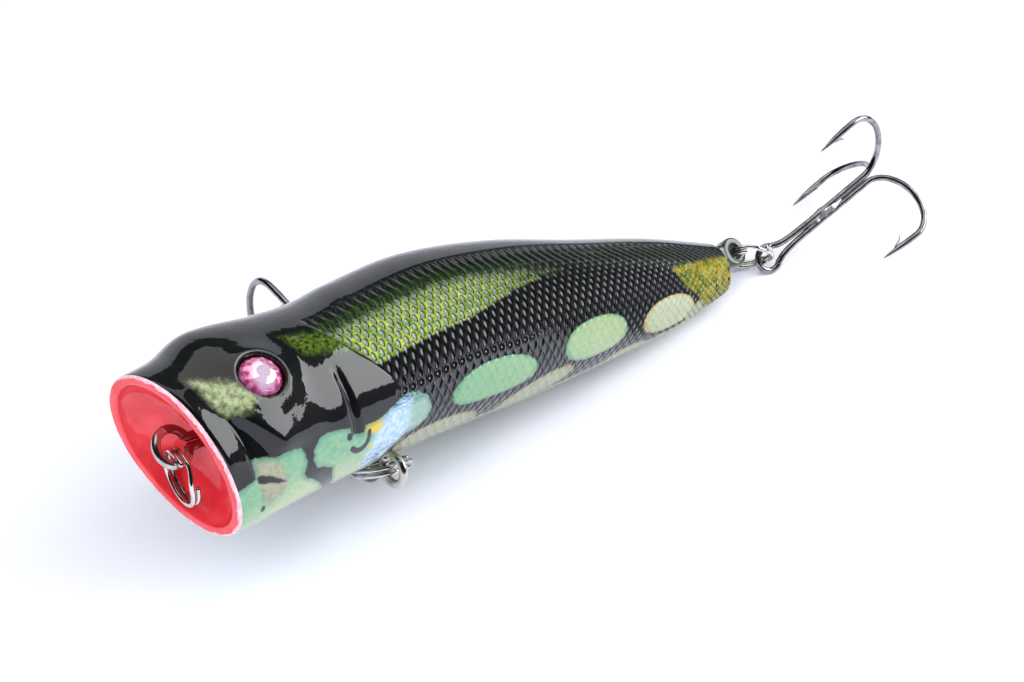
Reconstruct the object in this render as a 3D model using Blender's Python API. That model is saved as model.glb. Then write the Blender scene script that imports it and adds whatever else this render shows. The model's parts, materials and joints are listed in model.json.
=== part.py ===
"""Topwater popper: a hollow two-piece hard bait with a cupped mouth, gem eyes, a wire
line tie, three split rings, two treble hooks, and balls that rattle and shift inside.

Everything is built in the lure's own frame, in millimetres: X runs from the mouth to
the tail, Z towards the back, and the fish's left side is at -Y. One empty, lure_frame,
then lays the lure down: nose up on its belly treble and rolled onto its right side.
"""

import math

import bmesh
import bpy
from mathutils import Matrix, Vector

MM = 0.001

# How the lure lies, in degrees
LIE_PITCH = 10.9
LIE_ROLL = 43.1

# Body, in millimetres. Each station is (x, back height, belly depth, half width).
BODY_LENGTH = 61.5
BODY_STATIONS = (
    (0.0, 6.0, 7.3, 4.8),
    (2.8, 6.55, 7.15, 5.2),
    (6.0, 7.75, 6.8, 5.7),
    (11.0, 7.6, 6.35, 5.9),
    (14.0, 7.65, 6.1, 5.9),
    (18.0, 8.3, 5.88, 5.9),
    (26.0, 9.05, 5.6, 5.8),
    (35.0, 8.2, 5.4, 5.4),
    (44.0, 6.25, 4.9, 4.8),
    (53.0, 4.35, 4.2, 3.7),
    (61.5, 2.0, 2.7, 1.9),
)
MOUTH_SLANT = 17.0
SLANT_FADE = 15.5
SECTION_POINTS = 40
STATION_STEP = 2.05
SEAM_GAP = 0.06
WALL = 1.3

# Cup of the mouth
CUP_DEPTH = 3.0
CUP_OVERCUT = 4.0
LIP = 0.75

# Tail lug that the rear ring passes through
LUG_X, LUG_Z = 64.0, 0.55
LUG_RADIUS = 1.4
LUG_THICKNESS = 1.4
LUG_HOLE_RADIUS = 0.72

# Chambers inside, each (first x, last x)
RATTLE_ROOM = (8.2, 16.6)
BALLAST_ROOM = (20.0, 28.4)
TRANSFER_ROOM = (30.0, 54.0)
SHELF_Z, SHELF_THICKNESS = 0.4, 0.8
RATTLE_BALL_RADIUS = 1.5
TRANSFER_BALL_RADIUS = 2.2
BALLAST_BALL_RADIUS = 2.6
BALLAST_X, BALLAST_Z = 24.2, -2.0
BALLAST_CEILING = 1.2
BALL_GAP = 0.15

# Locating pins on the right half, (x, z)
PIN_PLACES = ((18.3, 5.6), (29.2, 6.2), (29.2, -3.6), (57.2, -0.4))
PIN_RADIUS = 0.55
PIN_LENGTH = 1.4
PIN_CLEARANCE = 0.06

# Eyes
EYE_X, EYE_Z = 5.9, 2.35
EYE_SOCKET_RADIUS = 2.2
EYE_SOCKET_DEPTH = 1.0
EYE_FOIL_RADIUS, EYE_FOIL_THICKNESS = 2.0, 0.25
EYE_GEM_RADIUS, EYE_GEM_FLAT, EYE_GEM_HEIGHT = 1.75, 1.05, 0.85
EYE_GEM_GIRDLE = 0.3
EYE_FACETS = 12
EYE_TILT_UP = 17.0
EYE_TURN_FORWARD = 7.0

# Wires
TIE_WIRE = 0.70
TIE_LOOP_RADIUS = 1.35
TIE_LOOP_X, TIE_Z = 0.35, 0.1
TIE_ANCHOR_END = 7.5
HANGER_WIRE = 0.70
HANGER_LOOP_RADIUS = 1.15
HANGER_X, HANGER_LOOP_Z = 18.1, -7.05
HANGER_ANCHOR_END = -1.6
HAIRPIN_GAP = 0.04
HAIRPIN_STRAIGHT = 0.7
WIRE_CHANNEL_CLEARANCE = 0.15

# Split rings: (outer diameter, wire)
FRONT_RING = (4.7, 0.40)
BELLY_RING = (5.2, 0.40)
TAIL_RING = (4.7, 0.38)
RING_COIL_GAP = 0.03
RING_POINTS_PER_TURN = 22

# Treble hooks, in millimetres on the tail treble; the belly treble is larger by a scale
TAIL_TREBLE_SCALE = 1.0
BELLY_TREBLE_SCALE = 1.14
HOOK_WIRE = 0.62
SHANK_LENGTH = 14.2
BEND_RADIUS = 3.45
BEND_STRETCH = 0.8
POINT_X = 9.9
POINT_DROP = 0.3
# Each station of the point: (distance from the tip, share of the drop, share of the wire)
POINT_STATIONS = ((0.0, 1.0, 0.12), (1.0, 0.75, 0.62), (2.0, 0.45, 0.95), (3.2, 0.15, 1.0))
BUNDLE_RADIUS = 0.42
EYE_LOOP_RADIUS = 1.15
EYE_OPENING = 48.0
SHANKS_MEET_X = 4.6
SINGLE_WIRE_START = 6.3
BRAZE_START, BRAZE_END = 6.8, 10.6
BRAZE_RADIUS = 0.66
BRAZE_CLEARANCE = 0.03

# How the loose pieces lie, in the lure's frame
FRONT_RING_DIRECTION = (0.20, 0.46, -0.87)
FRONT_RING_NORMAL = (0.948, -0.303, 0.107)
BELLY_RING_CENTRE = (19.0, 2.52, -6.42)
BELLY_RING_NORMAL = (0.0, -0.373, 0.928)
BELLY_TREBLE_END = (20.0, 4.0, -6.85)
BELLY_TREBLE_SHANK = (0.091, 0.640, 0.763)
BELLY_SINGLE_HOOK = (0.944, 0.186, -0.272)
TAIL_RING_CENTRE = (66.1, -0.1, -0.25)
TAIL_RING_NORMAL = (0.43, 0.0, 0.90)
TAIL_TREBLE_END = (67.18, 0.32, -1.47)
TAIL_TREBLE_SHANK = (0.859, -0.421, 0.291)
TAIL_SINGLE_HOOK = (0.348, 0.897, 0.271)

COLOURS = {
    "painted_body": ((0.02, 0.05, 0.02, 1), 0.15, 0.0),
    "eye_foil": ((0.75, 0.12, 0.38, 1), 0.25, 0.8),
    "eye_gem": ((0.95, 0.45, 0.70, 1), 0.05, 0.0),
    "stainless": ((0.72, 0.71, 0.69, 1), 0.22, 1.0),
    "chrome_ring": ((0.80, 0.79, 0.77, 1), 0.12, 1.0),
    "hook_wire": ((0.30, 0.29, 0.32, 1), 0.18, 1.0),
    "braze": ((0.45, 0.43, 0.42, 1), 0.35, 1.0),
    "steel_ball": ((0.55, 0.55, 0.56, 1), 0.20, 1.0),
}


def clear_scene():
    for old in list(bpy.data.objects):
        bpy.data.objects.remove(old, do_unlink=True)


def new_collection(name, hidden=False):
    collection = bpy.data.collections.new(name)
    bpy.context.scene.collection.children.link(collection)
    collection.hide_render = hidden
    return collection


clear_scene()
PARTS = new_collection("topwater_popper")
CUTTERS = new_collection("cutters", hidden=True)


def material(name):
    found = bpy.data.materials.get(name)
    if found:
        return found
    made = bpy.data.materials.new(name)
    made.use_nodes = True
    colour, roughness, metallic = COLOURS[name]
    shader = made.node_tree.nodes["Principled BSDF"]
    shader.inputs["Base Color"].default_value = colour
    shader.inputs["Roughness"].default_value = roughness
    shader.inputs["Metallic"].default_value = metallic
    made.diffuse_color = colour
    return made


def add_empty(name, parent=None, matrix=None):
    empty = bpy.data.objects.new(name, None)
    empty.empty_display_size = 2 * MM
    PARTS.objects.link(empty)
    empty.parent = parent
    if matrix is not None:
        empty.matrix_local = matrix
    return empty


def add_mesh(name, bm, parent, material_name=None, smooth_angle=35):
    """Makes an object from a bmesh in millimetres. Without a material it is a cutter."""
    bmesh.ops.scale(bm, vec=(MM, MM, MM), verts=bm.verts)
    bmesh.ops.recalc_face_normals(bm, faces=bm.faces)
    mesh = bpy.data.meshes.new(name)
    bm.to_mesh(mesh)
    bm.free()
    made = bpy.data.objects.new(name, mesh)
    made.parent = parent
    if material_name is None:
        CUTTERS.objects.link(made)
        made.hide_render = True
        made.display_type = "WIRE"
        return made
    PARTS.objects.link(made)
    mesh.materials.append(material(material_name))
    mesh.shade_smooth()
    mesh.set_sharp_from_angle(angle=math.radians(smooth_angle))
    return made


def add_boolean(target, cutter, operation="DIFFERENCE"):
    modifier = target.modifiers.new(cutter.name, "BOOLEAN")
    modifier.operation = operation
    modifier.solver = "EXACT"
    modifier.object = cutter


def frame_matrix(origin, x_axis, z_hint):
    """A frame in millimetres whose X follows x_axis and whose Z is nearest to z_hint."""
    x = Vector(x_axis).normalized()
    z = Vector(z_hint)
    z = (z - z.dot(x) * x).normalized()
    y = z.cross(x)
    rotation = Matrix((x, y, z)).transposed().to_4x4()
    return Matrix.Translation(Vector(origin) * MM) @ rotation


# Shapes


def smooth_value(x, column):
    """The body's outline at x: a cubic through the stations with even tangents."""
    xs = [station[0] for station in BODY_STATIONS]
    values = [station[column] for station in BODY_STATIONS]
    x = min(max(x, xs[0]), xs[-1])
    i = max(k for k in range(len(xs) - 1) if xs[k] <= x)
    slopes = []
    for k in (i, i + 1):
        before, after = max(k - 1, 0), min(k + 1, len(xs) - 1)
        slopes.append((values[after] - values[before]) / (xs[after] - xs[before]))
    width = xs[i + 1] - xs[i]
    t = (x - xs[i]) / width
    return (
        (2 * t**3 - 3 * t**2 + 1) * values[i]
        + (t**3 - 2 * t**2 + t) * width * slopes[0]
        + (3 * t**2 - 2 * t**3) * values[i + 1]
        + (t**3 - t**2) * width * slopes[1]
    )


def slant_shift(x, z):
    return math.tan(math.radians(MOUTH_SLANT)) * z * max(0.0, 1 - x / SLANT_FADE)


def section(x, inset, count):
    """One ring of points round the body at x, drawn in by inset."""
    back = smooth_value(x, 1) - inset
    belly = smooth_value(x, 2) - inset
    half_width = smooth_value(x, 3) - inset
    ring = []
    for i in range(count):
        angle = math.tau * i / count
        y = half_width * math.sin(angle)
        z = math.cos(angle) * (back if math.cos(angle) > 0 else belly)
        ring.append((x - slant_shift(x, z), y, z))
    return ring


def loft(rings):
    """A closed solid through rings of points, capped at both ends."""
    bm = bmesh.new()
    loops = [[bm.verts.new(point) for point in ring] for ring in rings]
    count = len(loops[0])
    for first, second in zip(loops, loops[1:]):
        for i in range(count):
            j = (i + 1) % count
            bm.faces.new((first[i], first[j], second[j], second[i]))
    bm.faces.new(loops[0][::-1])
    bm.faces.new(loops[-1])
    return bm


def body_loft(start, end, inset, count=SECTION_POINTS, step=STATION_STEP):
    steps = max(2, round((end - start) / step))
    xs = [start + (end - start) * k / steps for k in range(steps + 1)]
    return loft([section(x, inset, count) for x in xs])


def box(low, high):
    bm = bmesh.new()
    bmesh.ops.create_cube(bm, size=1)
    for vert in bm.verts:
        for k in range(3):
            vert.co[k] = low[k] if vert.co[k] < 0 else high[k]
    return bm


def cylinder(radius, start, end, segments, far_radius=None):
    """A cylinder or cone from start to end."""
    start, end = Vector(start), Vector(end)
    bm = bmesh.new()
    bmesh.ops.create_cone(
        bm,
        cap_ends=True,
        segments=segments,
        radius1=radius,
        radius2=radius if far_radius is None else far_radius,
        depth=(end - start).length,
    )
    turn = Vector((0, 0, 1)).rotation_difference(end - start).to_matrix()
    bmesh.ops.rotate(bm, verts=bm.verts, matrix=turn)
    bmesh.ops.translate(bm, verts=bm.verts, vec=(start + end) / 2)
    return bm


def sphere(radius, segments):
    bm = bmesh.new()
    bmesh.ops.create_uvsphere(bm, u_segments=segments, v_segments=segments // 2, radius=radius)
    return bm


def circle(x, radius, count):
    angles = [math.tau * i / count for i in range(count)]
    return [(x, radius * math.cos(a), radius * math.sin(a)) for a in angles]


def add_wire(name, points, diameter, parent, material_name, radii=None, cyclic=False, sides=2):
    """A round wire along points in millimetres, with filled ends."""
    curve = bpy.data.curves.new(name, "CURVE")
    curve.dimensions = "3D"
    curve.bevel_depth = diameter / 2 * MM
    curve.bevel_resolution = sides
    curve.use_fill_caps = not cyclic
    spline = curve.splines.new("POLY")
    spline.points.add(len(points) - 1)
    for i, point in enumerate(points):
        spline.points[i].co = (*(Vector(point) * MM), 1)
        spline.points[i].radius = radii[i] if radii else 1
    spline.use_cyclic_u = cyclic
    made = bpy.data.objects.new(name, curve)
    made.parent = parent
    PARTS.objects.link(made)
    curve.materials.append(material(material_name))
    return made


def arc(centre, radius, start, end, count, stretch=1.0):
    """Points on an arc in the XZ plane, angles in degrees from +X towards +Z."""
    points = []
    for k in range(count + 1):
        angle = math.radians(start + (end - start) * k / count)
        points.append(
            (
                centre[0] + stretch * radius * math.cos(angle),
                0.0,
                centre[1] + radius * math.sin(angle),
            )
        )
    return points


# Body


def cup_cutter(parent):
    """The dished hollow of the mouth: the rim's own outline, drawn in by the lip, sinking
    along a quarter ellipse to CUP_DEPTH in the middle."""
    rings = []
    for k in range(9):
        share = math.sin(math.radians(90 * k / 8))
        depth = CUP_DEPTH * math.sqrt(max(0.0, 1 - share**2)) if k else CUP_DEPTH
        scale = max(share, 0.06)
        ring = []
        for x, y, z in section(0.0, LIP, SECTION_POINTS):
            ring.append((-slant_shift(0.0, scale * z) + depth, scale * y, scale * z))
        rings.append(ring)
    outside = [(x - CUP_OVERCUT, y, z) for x, y, z in rings[-1]]
    return add_mesh("cut_mouth_cup", loft(rings + [outside]), parent)


def inner_rooms(parent):
    """The hollow rooms, each a slice of the body drawn in by the wall."""
    rooms = []
    for name, (start, end) in (
        ("rattle", RATTLE_ROOM),
        ("ballast", BALLAST_ROOM),
        ("transfer", TRANSFER_ROOM),
    ):
        bm = body_loft(start, end, WALL, count=24, step=3.2)
        rooms.append(add_mesh("cut_%s_room" % name, bm, parent))
    shelf = box(
        (RATTLE_ROOM[0] - 1, -8, SHELF_Z - SHELF_THICKNESS / 2),
        (RATTLE_ROOM[1] + 1, 8, SHELF_Z + SHELF_THICKNESS / 2),
    )
    add_boolean(rooms[0], add_mesh("keep_rattle_shelf", shelf, parent))
    floor = box((BALLAST_ROOM[0] - 1, -8, -12), (BALLAST_ROOM[1] + 1, 8, BALLAST_CEILING))
    add_boolean(rooms[1], add_mesh("keep_ballast_cradle", floor, parent))
    pocket = sphere(BALLAST_BALL_RADIUS + BALL_GAP, 24)
    pocket = add_mesh("cut_ballast_pocket", pocket, parent)
    pocket.location = Vector((BALLAST_X, 0, BALLAST_Z)) * MM
    return rooms + [pocket]


def eye_place(side):
    """The eye socket's frame: its X points out of the body's flank."""
    back, belly, width = (smooth_value(EYE_X, k) for k in (1, 2, 3))
    height = back if EYE_Z > 0 else belly
    y = side * width * math.sqrt(1 - (EYE_Z / height) ** 2)
    outward = Vector(
        (
            -math.sin(math.radians(EYE_TURN_FORWARD)),
            side * math.cos(math.radians(EYE_TILT_UP)),
            math.sin(math.radians(EYE_TILT_UP)),
        )
    )
    return frame_matrix((EYE_X, y, EYE_Z), outward, (0, 0, 1))


def anchor_channels(parent):
    """The slots that hold the legs of the line tie and of the belly hanger."""
    thin = TIE_WIRE / 2 + WIRE_CHANNEL_CLEARANCE
    wide = TIE_WIRE + HAIRPIN_GAP / 2 + WIRE_CHANNEL_CLEARANCE
    tie = box((1.0, -thin, TIE_Z - wide), (TIE_ANCHOR_END + 0.15, thin, TIE_Z + wide))
    thin = HANGER_WIRE / 2 + WIRE_CHANNEL_CLEARANCE
    wide = HANGER_WIRE + HAIRPIN_GAP / 2 + WIRE_CHANNEL_CLEARANCE
    hanger = box(
        (HANGER_X - thin, -wide, HANGER_LOOP_Z),
        (HANGER_X + thin, wide, HANGER_ANCHOR_END + 0.15),
    )
    return [
        add_mesh("cut_tie_channel", tie, parent),
        add_mesh("cut_hanger_channel", hanger, parent),
    ]


def make_body(lure):
    cup = cup_cutter(lure)
    hollows = inner_rooms(lure) + anchor_channels(lure)
    lug_half = LUG_THICKNESS / 2
    for side, name in ((-1, "body_half_left"), (1, "body_half_right")):
        half = add_mesh(name, body_loft(0.0, BODY_LENGTH, 0.0), lure, "painted_body", 40)
        root = box(
            (BODY_LENGTH - 3.5, -lug_half, LUG_Z - LUG_RADIUS * 0.72),
            (LUG_X, lug_half, LUG_Z + LUG_RADIUS * 0.72),
        )
        disc = cylinder(LUG_RADIUS, (LUG_X, -lug_half, LUG_Z), (LUG_X, lug_half, LUG_Z), 28)
        add_boolean(half, add_mesh(name + "_lug_root", root, lure), "UNION")
        add_boolean(half, add_mesh(name + "_lug", disc, lure), "UNION")
        add_boolean(half, cup)
        for hollow in hollows:
            add_boolean(half, hollow)
        hole = cylinder(LUG_HOLE_RADIUS, (LUG_X, -2, LUG_Z), (LUG_X, 2, LUG_Z), 20)
        add_boolean(half, add_mesh(name + "_lug_hole", hole, lure))
        socket = cylinder(EYE_SOCKET_RADIUS, (-EYE_SOCKET_DEPTH, 0, 0), (3, 0, 0), 28)
        socket = add_mesh(name + "_eye_socket", socket, lure)
        socket.matrix_local = eye_place(side)
        add_boolean(half, socket)
        low, high = (SEAM_GAP / 2, 9) if side > 0 else (-9, -SEAM_GAP / 2)
        keep = add_mesh(name + "_side", box((-9, low, -12), (72, high, 12)), lure)
        add_boolean(half, keep, "INTERSECT")
        for number, (x, z) in enumerate(PIN_PLACES, 1):
            if side > 0:
                pin = cylinder(PIN_RADIUS, (x, 1.0, z), (x, -PIN_LENGTH, z), 14)
                add_boolean(half, add_mesh("%s_pin_%d" % (name, number), pin, lure), "UNION")
            else:
                reach = PIN_LENGTH + PIN_CLEARANCE * 3
                pit = cylinder(PIN_RADIUS + PIN_CLEARANCE, (x, 1.0, z), (x, -reach, z), 14)
                add_boolean(half, add_mesh("%s_pit_%d" % (name, number), pit, lure))


def make_eyes(lure):
    for side, word in ((-1, "left"), (1, "right")):
        seat = eye_place(side)
        low = -EYE_SOCKET_DEPTH + 0.05
        top = low + EYE_FOIL_THICKNESS
        foil = cylinder(EYE_FOIL_RADIUS, (low, 0, 0), (top, 0, 0), 24)
        add_mesh("eye_foil_" + word, foil, lure, "eye_foil").matrix_local = seat
        gem_low = top + 0.05
        outline = (
            (gem_low, EYE_GEM_RADIUS),
            (gem_low + EYE_GEM_GIRDLE, EYE_GEM_RADIUS),
            (gem_low + EYE_GEM_HEIGHT, EYE_GEM_FLAT),
        )
        gem = loft([circle(x, radius, EYE_FACETS) for x, radius in outline])
        add_mesh("eye_gem_" + word, gem, lure, "eye_gem", 12).matrix_local = seat


# Wire fittings


def hairpin(radius, wire, leg_end):
    """A loop round the local origin in the XZ plane, with two legs that run on to leg_end."""
    spread = (wire + HAIRPIN_GAP) / 2
    opening = math.degrees(math.asin(spread / radius))
    loop = arc((0, 0), radius, opening, 360 - opening, 26)
    bend = leg_end - (leg_end - radius) * HAIRPIN_STRAIGHT
    upper = [(leg_end, 0, spread), (bend, 0, spread)]
    lower = [(bend, 0, -spread), (leg_end, 0, -spread)]
    return upper + loop + lower


def make_line_tie(lure):
    """Its loop stands in the mouth, in the body's middle plane."""
    path = hairpin(TIE_LOOP_RADIUS, TIE_WIRE, TIE_ANCHOR_END - TIE_LOOP_X)
    tie = add_wire("line_tie", path, TIE_WIRE, lure, "stainless")
    tie.location = Vector((TIE_LOOP_X, 0, TIE_Z)) * MM


def make_belly_hanger(lure):
    """Its loop is turned across the body, so the ring hangs in line with it."""
    path = hairpin(HANGER_LOOP_RADIUS, HANGER_WIRE, HANGER_ANCHOR_END - HANGER_LOOP_Z)
    hanger = add_wire("belly_hanger", path, HANGER_WIRE, lure, "stainless")
    hanger.matrix_local = frame_matrix((HANGER_X, 0, HANGER_LOOP_Z), (0, 0, 1), (0, 1, 0))


def make_split_ring(name, sizes, joint):
    """Two close turns of wire about the local Y axis."""
    outer, wire = sizes
    radius = (outer - wire) / 2
    pitch = wire + RING_COIL_GAP
    steps = 2 * RING_POINTS_PER_TURN
    points = []
    for k in range(steps + 1):
        angle = math.tau * k / RING_POINTS_PER_TURN
        y = pitch * (k / steps * 2 - 1) * 0.98
        points.append((radius * math.cos(angle), y, radius * math.sin(angle)))
    return add_wire(name, points, wire, joint, "chrome_ring")


# Treble hooks


def hook_side(scale):
    """Half of a hook in the XZ plane, from the tip to the end of the shank: points and radii."""
    shank = SHANK_LENGTH * scale
    radius = BEND_RADIUS * scale
    height = BUNDLE_RADIUS + 2 * radius
    points = [
        ((POINT_X + along) * scale, 0, height - share * POINT_DROP * scale)
        for along, share, _ in POINT_STATIONS
    ]
    radii = [thickness for _, _, thickness in POINT_STATIONS]
    bend = arc((shank, BUNDLE_RADIUS + radius), radius, 90, -90, 16, BEND_STRETCH)
    points += bend
    radii += [1.0] * len(bend)
    return points, radii


def turned(points, degrees):
    turn = Matrix.Rotation(math.radians(degrees), 3, "X")
    return [tuple(turn @ Vector(point)) for point in points]


def make_treble(prefix, scale, joint, seat):
    """Two hooks and the eye from one wire, the third hook from another, and the braze
    that joins their shanks. seat places the treble's own frame: X along the shank from
    the eye's outer end, and its third hook towards +Z."""
    side_points, side_radii = hook_side(scale)
    meet = [(SHANKS_MEET_X * scale, 0, BUNDLE_RADIUS)]
    first = turned(side_points + meet, 120)
    second = turned(side_points + meet, -120)
    shanks_z = first[-1][2]
    eye_radius = EYE_LOOP_RADIUS * scale
    eye_x = eye_radius + HOOK_WIRE / 2
    eye = []
    for k in range(21):
        angle = math.radians(EYE_OPENING + (360 - 2 * EYE_OPENING) * k / 20)
        sink = 0.5 * shanks_z * max(0.0, math.cos(angle))
        eye.append((eye_x + eye_radius * math.cos(angle), -eye_radius * math.sin(angle), sink))
    path = first + eye + second[::-1]
    radii = side_radii + [1.0] * (len(eye) + 2) + side_radii[::-1]
    double = add_wire(prefix + "_double_hook", path, HOOK_WIRE, joint, "hook_wire", radii)
    single = add_wire(
        prefix + "_single_hook",
        side_points + [(SINGLE_WIRE_START * scale, 0, BUNDLE_RADIUS)],
        HOOK_WIRE,
        joint,
        "hook_wire",
        side_radii + [1.0],
    )
    braze = add_mesh(
        prefix + "_braze",
        cylinder(BRAZE_RADIUS, (BRAZE_START * scale, 0, 0), (BRAZE_END * scale, 0, 0), 30),
        joint,
        "braze",
    )
    grooves = []
    for number, angle in enumerate((0, 120, 240), 1):
        centre = Vector(turned([(0, 0, BUNDLE_RADIUS)], angle)[0])
        groove = cylinder(
            HOOK_WIRE / 2 + BRAZE_CLEARANCE, centre, centre + Vector((SHANK_LENGTH * scale, 0, 0)), 20
        )
        grooves.append(add_mesh("%s_groove_%d" % (prefix, number), groove, joint))
        add_boolean(braze, grooves[-1])
    for piece in [double, single, braze] + grooves:
        piece.matrix_local = seat


# Balls


def make_ball(name, radius, centre, parent, segments=20):
    joint = add_empty(name + "_slide", parent, Matrix.Translation(Vector(centre) * MM))
    return add_mesh(name, sphere(radius, segments), joint, "steel_ball")


def make_balls(lure):
    """The nose is up, so every loose ball rests at the rear end of its room."""
    rear = RATTLE_ROOM[1] - RATTLE_BALL_RADIUS - BALL_GAP
    above = SHELF_Z + SHELF_THICKNESS / 2 + RATTLE_BALL_RADIUS + BALL_GAP
    below = SHELF_Z - SHELF_THICKNESS / 2 - RATTLE_BALL_RADIUS - 3 * BALL_GAP
    make_ball("rattle_ball_upper", RATTLE_BALL_RADIUS, (rear, 2.2, above), lure)
    make_ball("rattle_ball_lower", RATTLE_BALL_RADIUS, (rear, 2.2, below), lure)
    ballast = sphere(BALLAST_BALL_RADIUS, 20)
    ballast = add_mesh("ballast_ball", ballast, lure, "steel_ball")
    ballast.location = Vector((BALLAST_X, 0, BALLAST_Z)) * MM
    back = TRANSFER_ROOM[1] - TRANSFER_BALL_RADIUS - BALL_GAP
    gap = 2 * TRANSFER_BALL_RADIUS + BALL_GAP
    make_ball("transfer_ball_rear", TRANSFER_BALL_RADIUS, (back, 0, 0.1), lure)
    make_ball("transfer_ball_front", TRANSFER_BALL_RADIUS, (back - gap, 0, 0.1), lure)


def stand_on_origin(lure):
    """Moves the lure so that its box stands on z = 0 with its centre over the origin."""
    bpy.context.view_layer.update()
    graph = bpy.context.evaluated_depsgraph_get()
    corners = []
    for piece in PARTS.objects:
        if piece.type == "EMPTY":
            continue
        solid = piece.evaluated_get(graph)
        mesh = solid.to_mesh()
        corners += [solid.matrix_world @ vert.co for vert in mesh.vertices]
        solid.to_mesh_clear()
    low = Vector([min(corner[k] for corner in corners) for k in range(3)])
    high = Vector([max(corner[k] for corner in corners) for k in range(3)])
    centre = (low + high) / 2
    lure.location -= Vector((centre.x, centre.y, low.z))


def hang_ring(name, sizes, lure, pivot, centre, normal):
    """A split ring that swings on an empty at the pivot, with its centre and its axis."""
    swing = add_empty(name + "_swing", lure, Matrix.Translation(Vector(pivot) * MM))
    away = Vector(centre) - Vector(pivot)
    ring = make_split_ring(name, sizes, swing)
    ring.matrix_local = frame_matrix(away, away, away.cross(Vector(normal)))
    return swing


def hang_treble(name, scale, swing, pivot, ring_centre, end, shank, single):
    """A treble that slides round its ring: its empty is at the ring's centre."""
    toward = Vector(ring_centre) - Vector(pivot)
    slide = add_empty(name + "_swing", swing, Matrix.Translation(toward * MM))
    seat = frame_matrix(Vector(end) - Vector(ring_centre), shank, single)
    make_treble(name, scale, slide, seat)


def main():
    lying = Matrix.Rotation(math.radians(LIE_PITCH), 4, "Y")
    lying = lying @ Matrix.Rotation(math.radians(-LIE_ROLL), 4, "X")
    lure = add_empty("lure_frame", matrix=lying)

    make_body(lure)
    make_eyes(lure)
    make_line_tie(lure)
    make_belly_hanger(lure)
    make_balls(lure)

    tie = (TIE_LOOP_X, 0, TIE_Z)
    hang = (FRONT_RING[0] - FRONT_RING[1]) / 2 + 0.4
    centre = Vector(tie) + Vector(FRONT_RING_DIRECTION).normalized() * hang
    hang_ring("front_split_ring", FRONT_RING, lure, tie, centre, FRONT_RING_NORMAL)

    hanger = (HANGER_X, 0, HANGER_LOOP_Z)
    swing = hang_ring(
        "belly_split_ring", BELLY_RING, lure, hanger, BELLY_RING_CENTRE, BELLY_RING_NORMAL
    )
    hang_treble(
        "belly_treble", BELLY_TREBLE_SCALE, swing, hanger, BELLY_RING_CENTRE,
        BELLY_TREBLE_END, BELLY_TREBLE_SHANK, BELLY_SINGLE_HOOK,
    )

    lug = (LUG_X, 0, LUG_Z)
    swing = hang_ring(
        "tail_split_ring", TAIL_RING, lure, lug, TAIL_RING_CENTRE, TAIL_RING_NORMAL
    )
    hang_treble(
        "tail_treble", TAIL_TREBLE_SCALE, swing, lug, TAIL_RING_CENTRE,
        TAIL_TREBLE_END, TAIL_TREBLE_SHANK, TAIL_SINGLE_HOOK,
    )

    stand_on_origin(lure)


main()
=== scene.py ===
import json
import math

import bpy
import numpy as np
from mathutils import Matrix, Vector


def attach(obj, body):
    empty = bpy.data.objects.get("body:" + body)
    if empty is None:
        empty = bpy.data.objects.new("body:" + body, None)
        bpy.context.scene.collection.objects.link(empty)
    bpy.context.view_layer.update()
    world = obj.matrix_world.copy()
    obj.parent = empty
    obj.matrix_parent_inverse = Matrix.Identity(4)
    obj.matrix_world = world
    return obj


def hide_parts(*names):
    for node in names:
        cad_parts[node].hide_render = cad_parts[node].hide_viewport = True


# A topwater popper lying on a pale table. Sizes are millimetres in the lure's own frame:
# X from mouth to tail, Z towards the back, the fish's left side at -Y.

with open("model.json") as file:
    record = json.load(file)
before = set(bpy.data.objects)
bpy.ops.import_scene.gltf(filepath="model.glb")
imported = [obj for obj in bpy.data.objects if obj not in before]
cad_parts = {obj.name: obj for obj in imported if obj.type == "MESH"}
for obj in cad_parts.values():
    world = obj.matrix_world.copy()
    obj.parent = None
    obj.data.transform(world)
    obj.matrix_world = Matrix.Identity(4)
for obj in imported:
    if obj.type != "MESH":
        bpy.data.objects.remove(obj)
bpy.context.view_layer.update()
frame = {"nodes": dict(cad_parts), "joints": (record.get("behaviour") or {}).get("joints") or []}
JOINTS = {joint["name"]: joint for joint in frame["joints"]}
MM = 0.001

# Camera and light
CAMERA_AT = (-0.10435, -0.10422, 0.10510)
CAMERA_LOOK = (0.57406, 0.58467, -0.57326)
CAMERA_LENS = 72.07
LAMP_TARGET = (0, 0, 0.008)
COOL_FILL = (0.80, 0.84, 1.0)
TABLE_HALF = 2.0
# Softboxes: name, azimuth, elevation, distance, size, power, tint
SOFTBOXES = (
    ("overhead_softbox", 60, 80, 0.70, (0.80, 0.80), 2.5, (1, 0.98, 0.95)),
    ("side_softbox", -36, 30, 0.55, (0.52, 0.30), 2.7, (0.95, 0.97, 1.0)),
    ("back_panel", 50, 16, 0.75, (0.76, 0.45), 0.95, (0.9, 0.92, 1.0)),
)
# Soft fills that show in no reflection: name, azimuth, elevation, power
FILL_LAMPS = (("mouth_fill", 195, 38, 2.9), ("flank_fill", -95, 48, 1.9))

# Body outline: (x, back height, belly depth, half width)
BODY_LENGTH = 61.5
BODY_STATIONS = (
    (0.0, 6.0, 7.3, 4.8),
    (2.8, 6.55, 7.15, 5.2),
    (6.0, 7.75, 6.8, 5.7),
    (11.0, 7.6, 6.35, 5.9),
    (14.0, 7.65, 6.1, 5.9),
    (18.0, 8.3, 5.88, 5.9),
    (26.0, 9.05, 5.6, 5.8),
    (35.0, 8.2, 5.4, 5.4),
    (44.0, 6.25, 4.9, 4.8),
    (53.0, 4.35, 4.2, 3.7),
    (61.5, 2.0, 2.7, 1.9),
)
MOUTH_SLANT = 17.0
SLANT_FADE = 15.5
CUP_DEPTH = 3.0
LIP = 0.75
RIM_PROUD = 0.05
RIM_INNER_ROUND, RIM_OUTER_ROUND, RIM_ROUND_DEPTH = 0.16, 0.20, 0.22
TAIL_ROUND = 0.7
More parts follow.
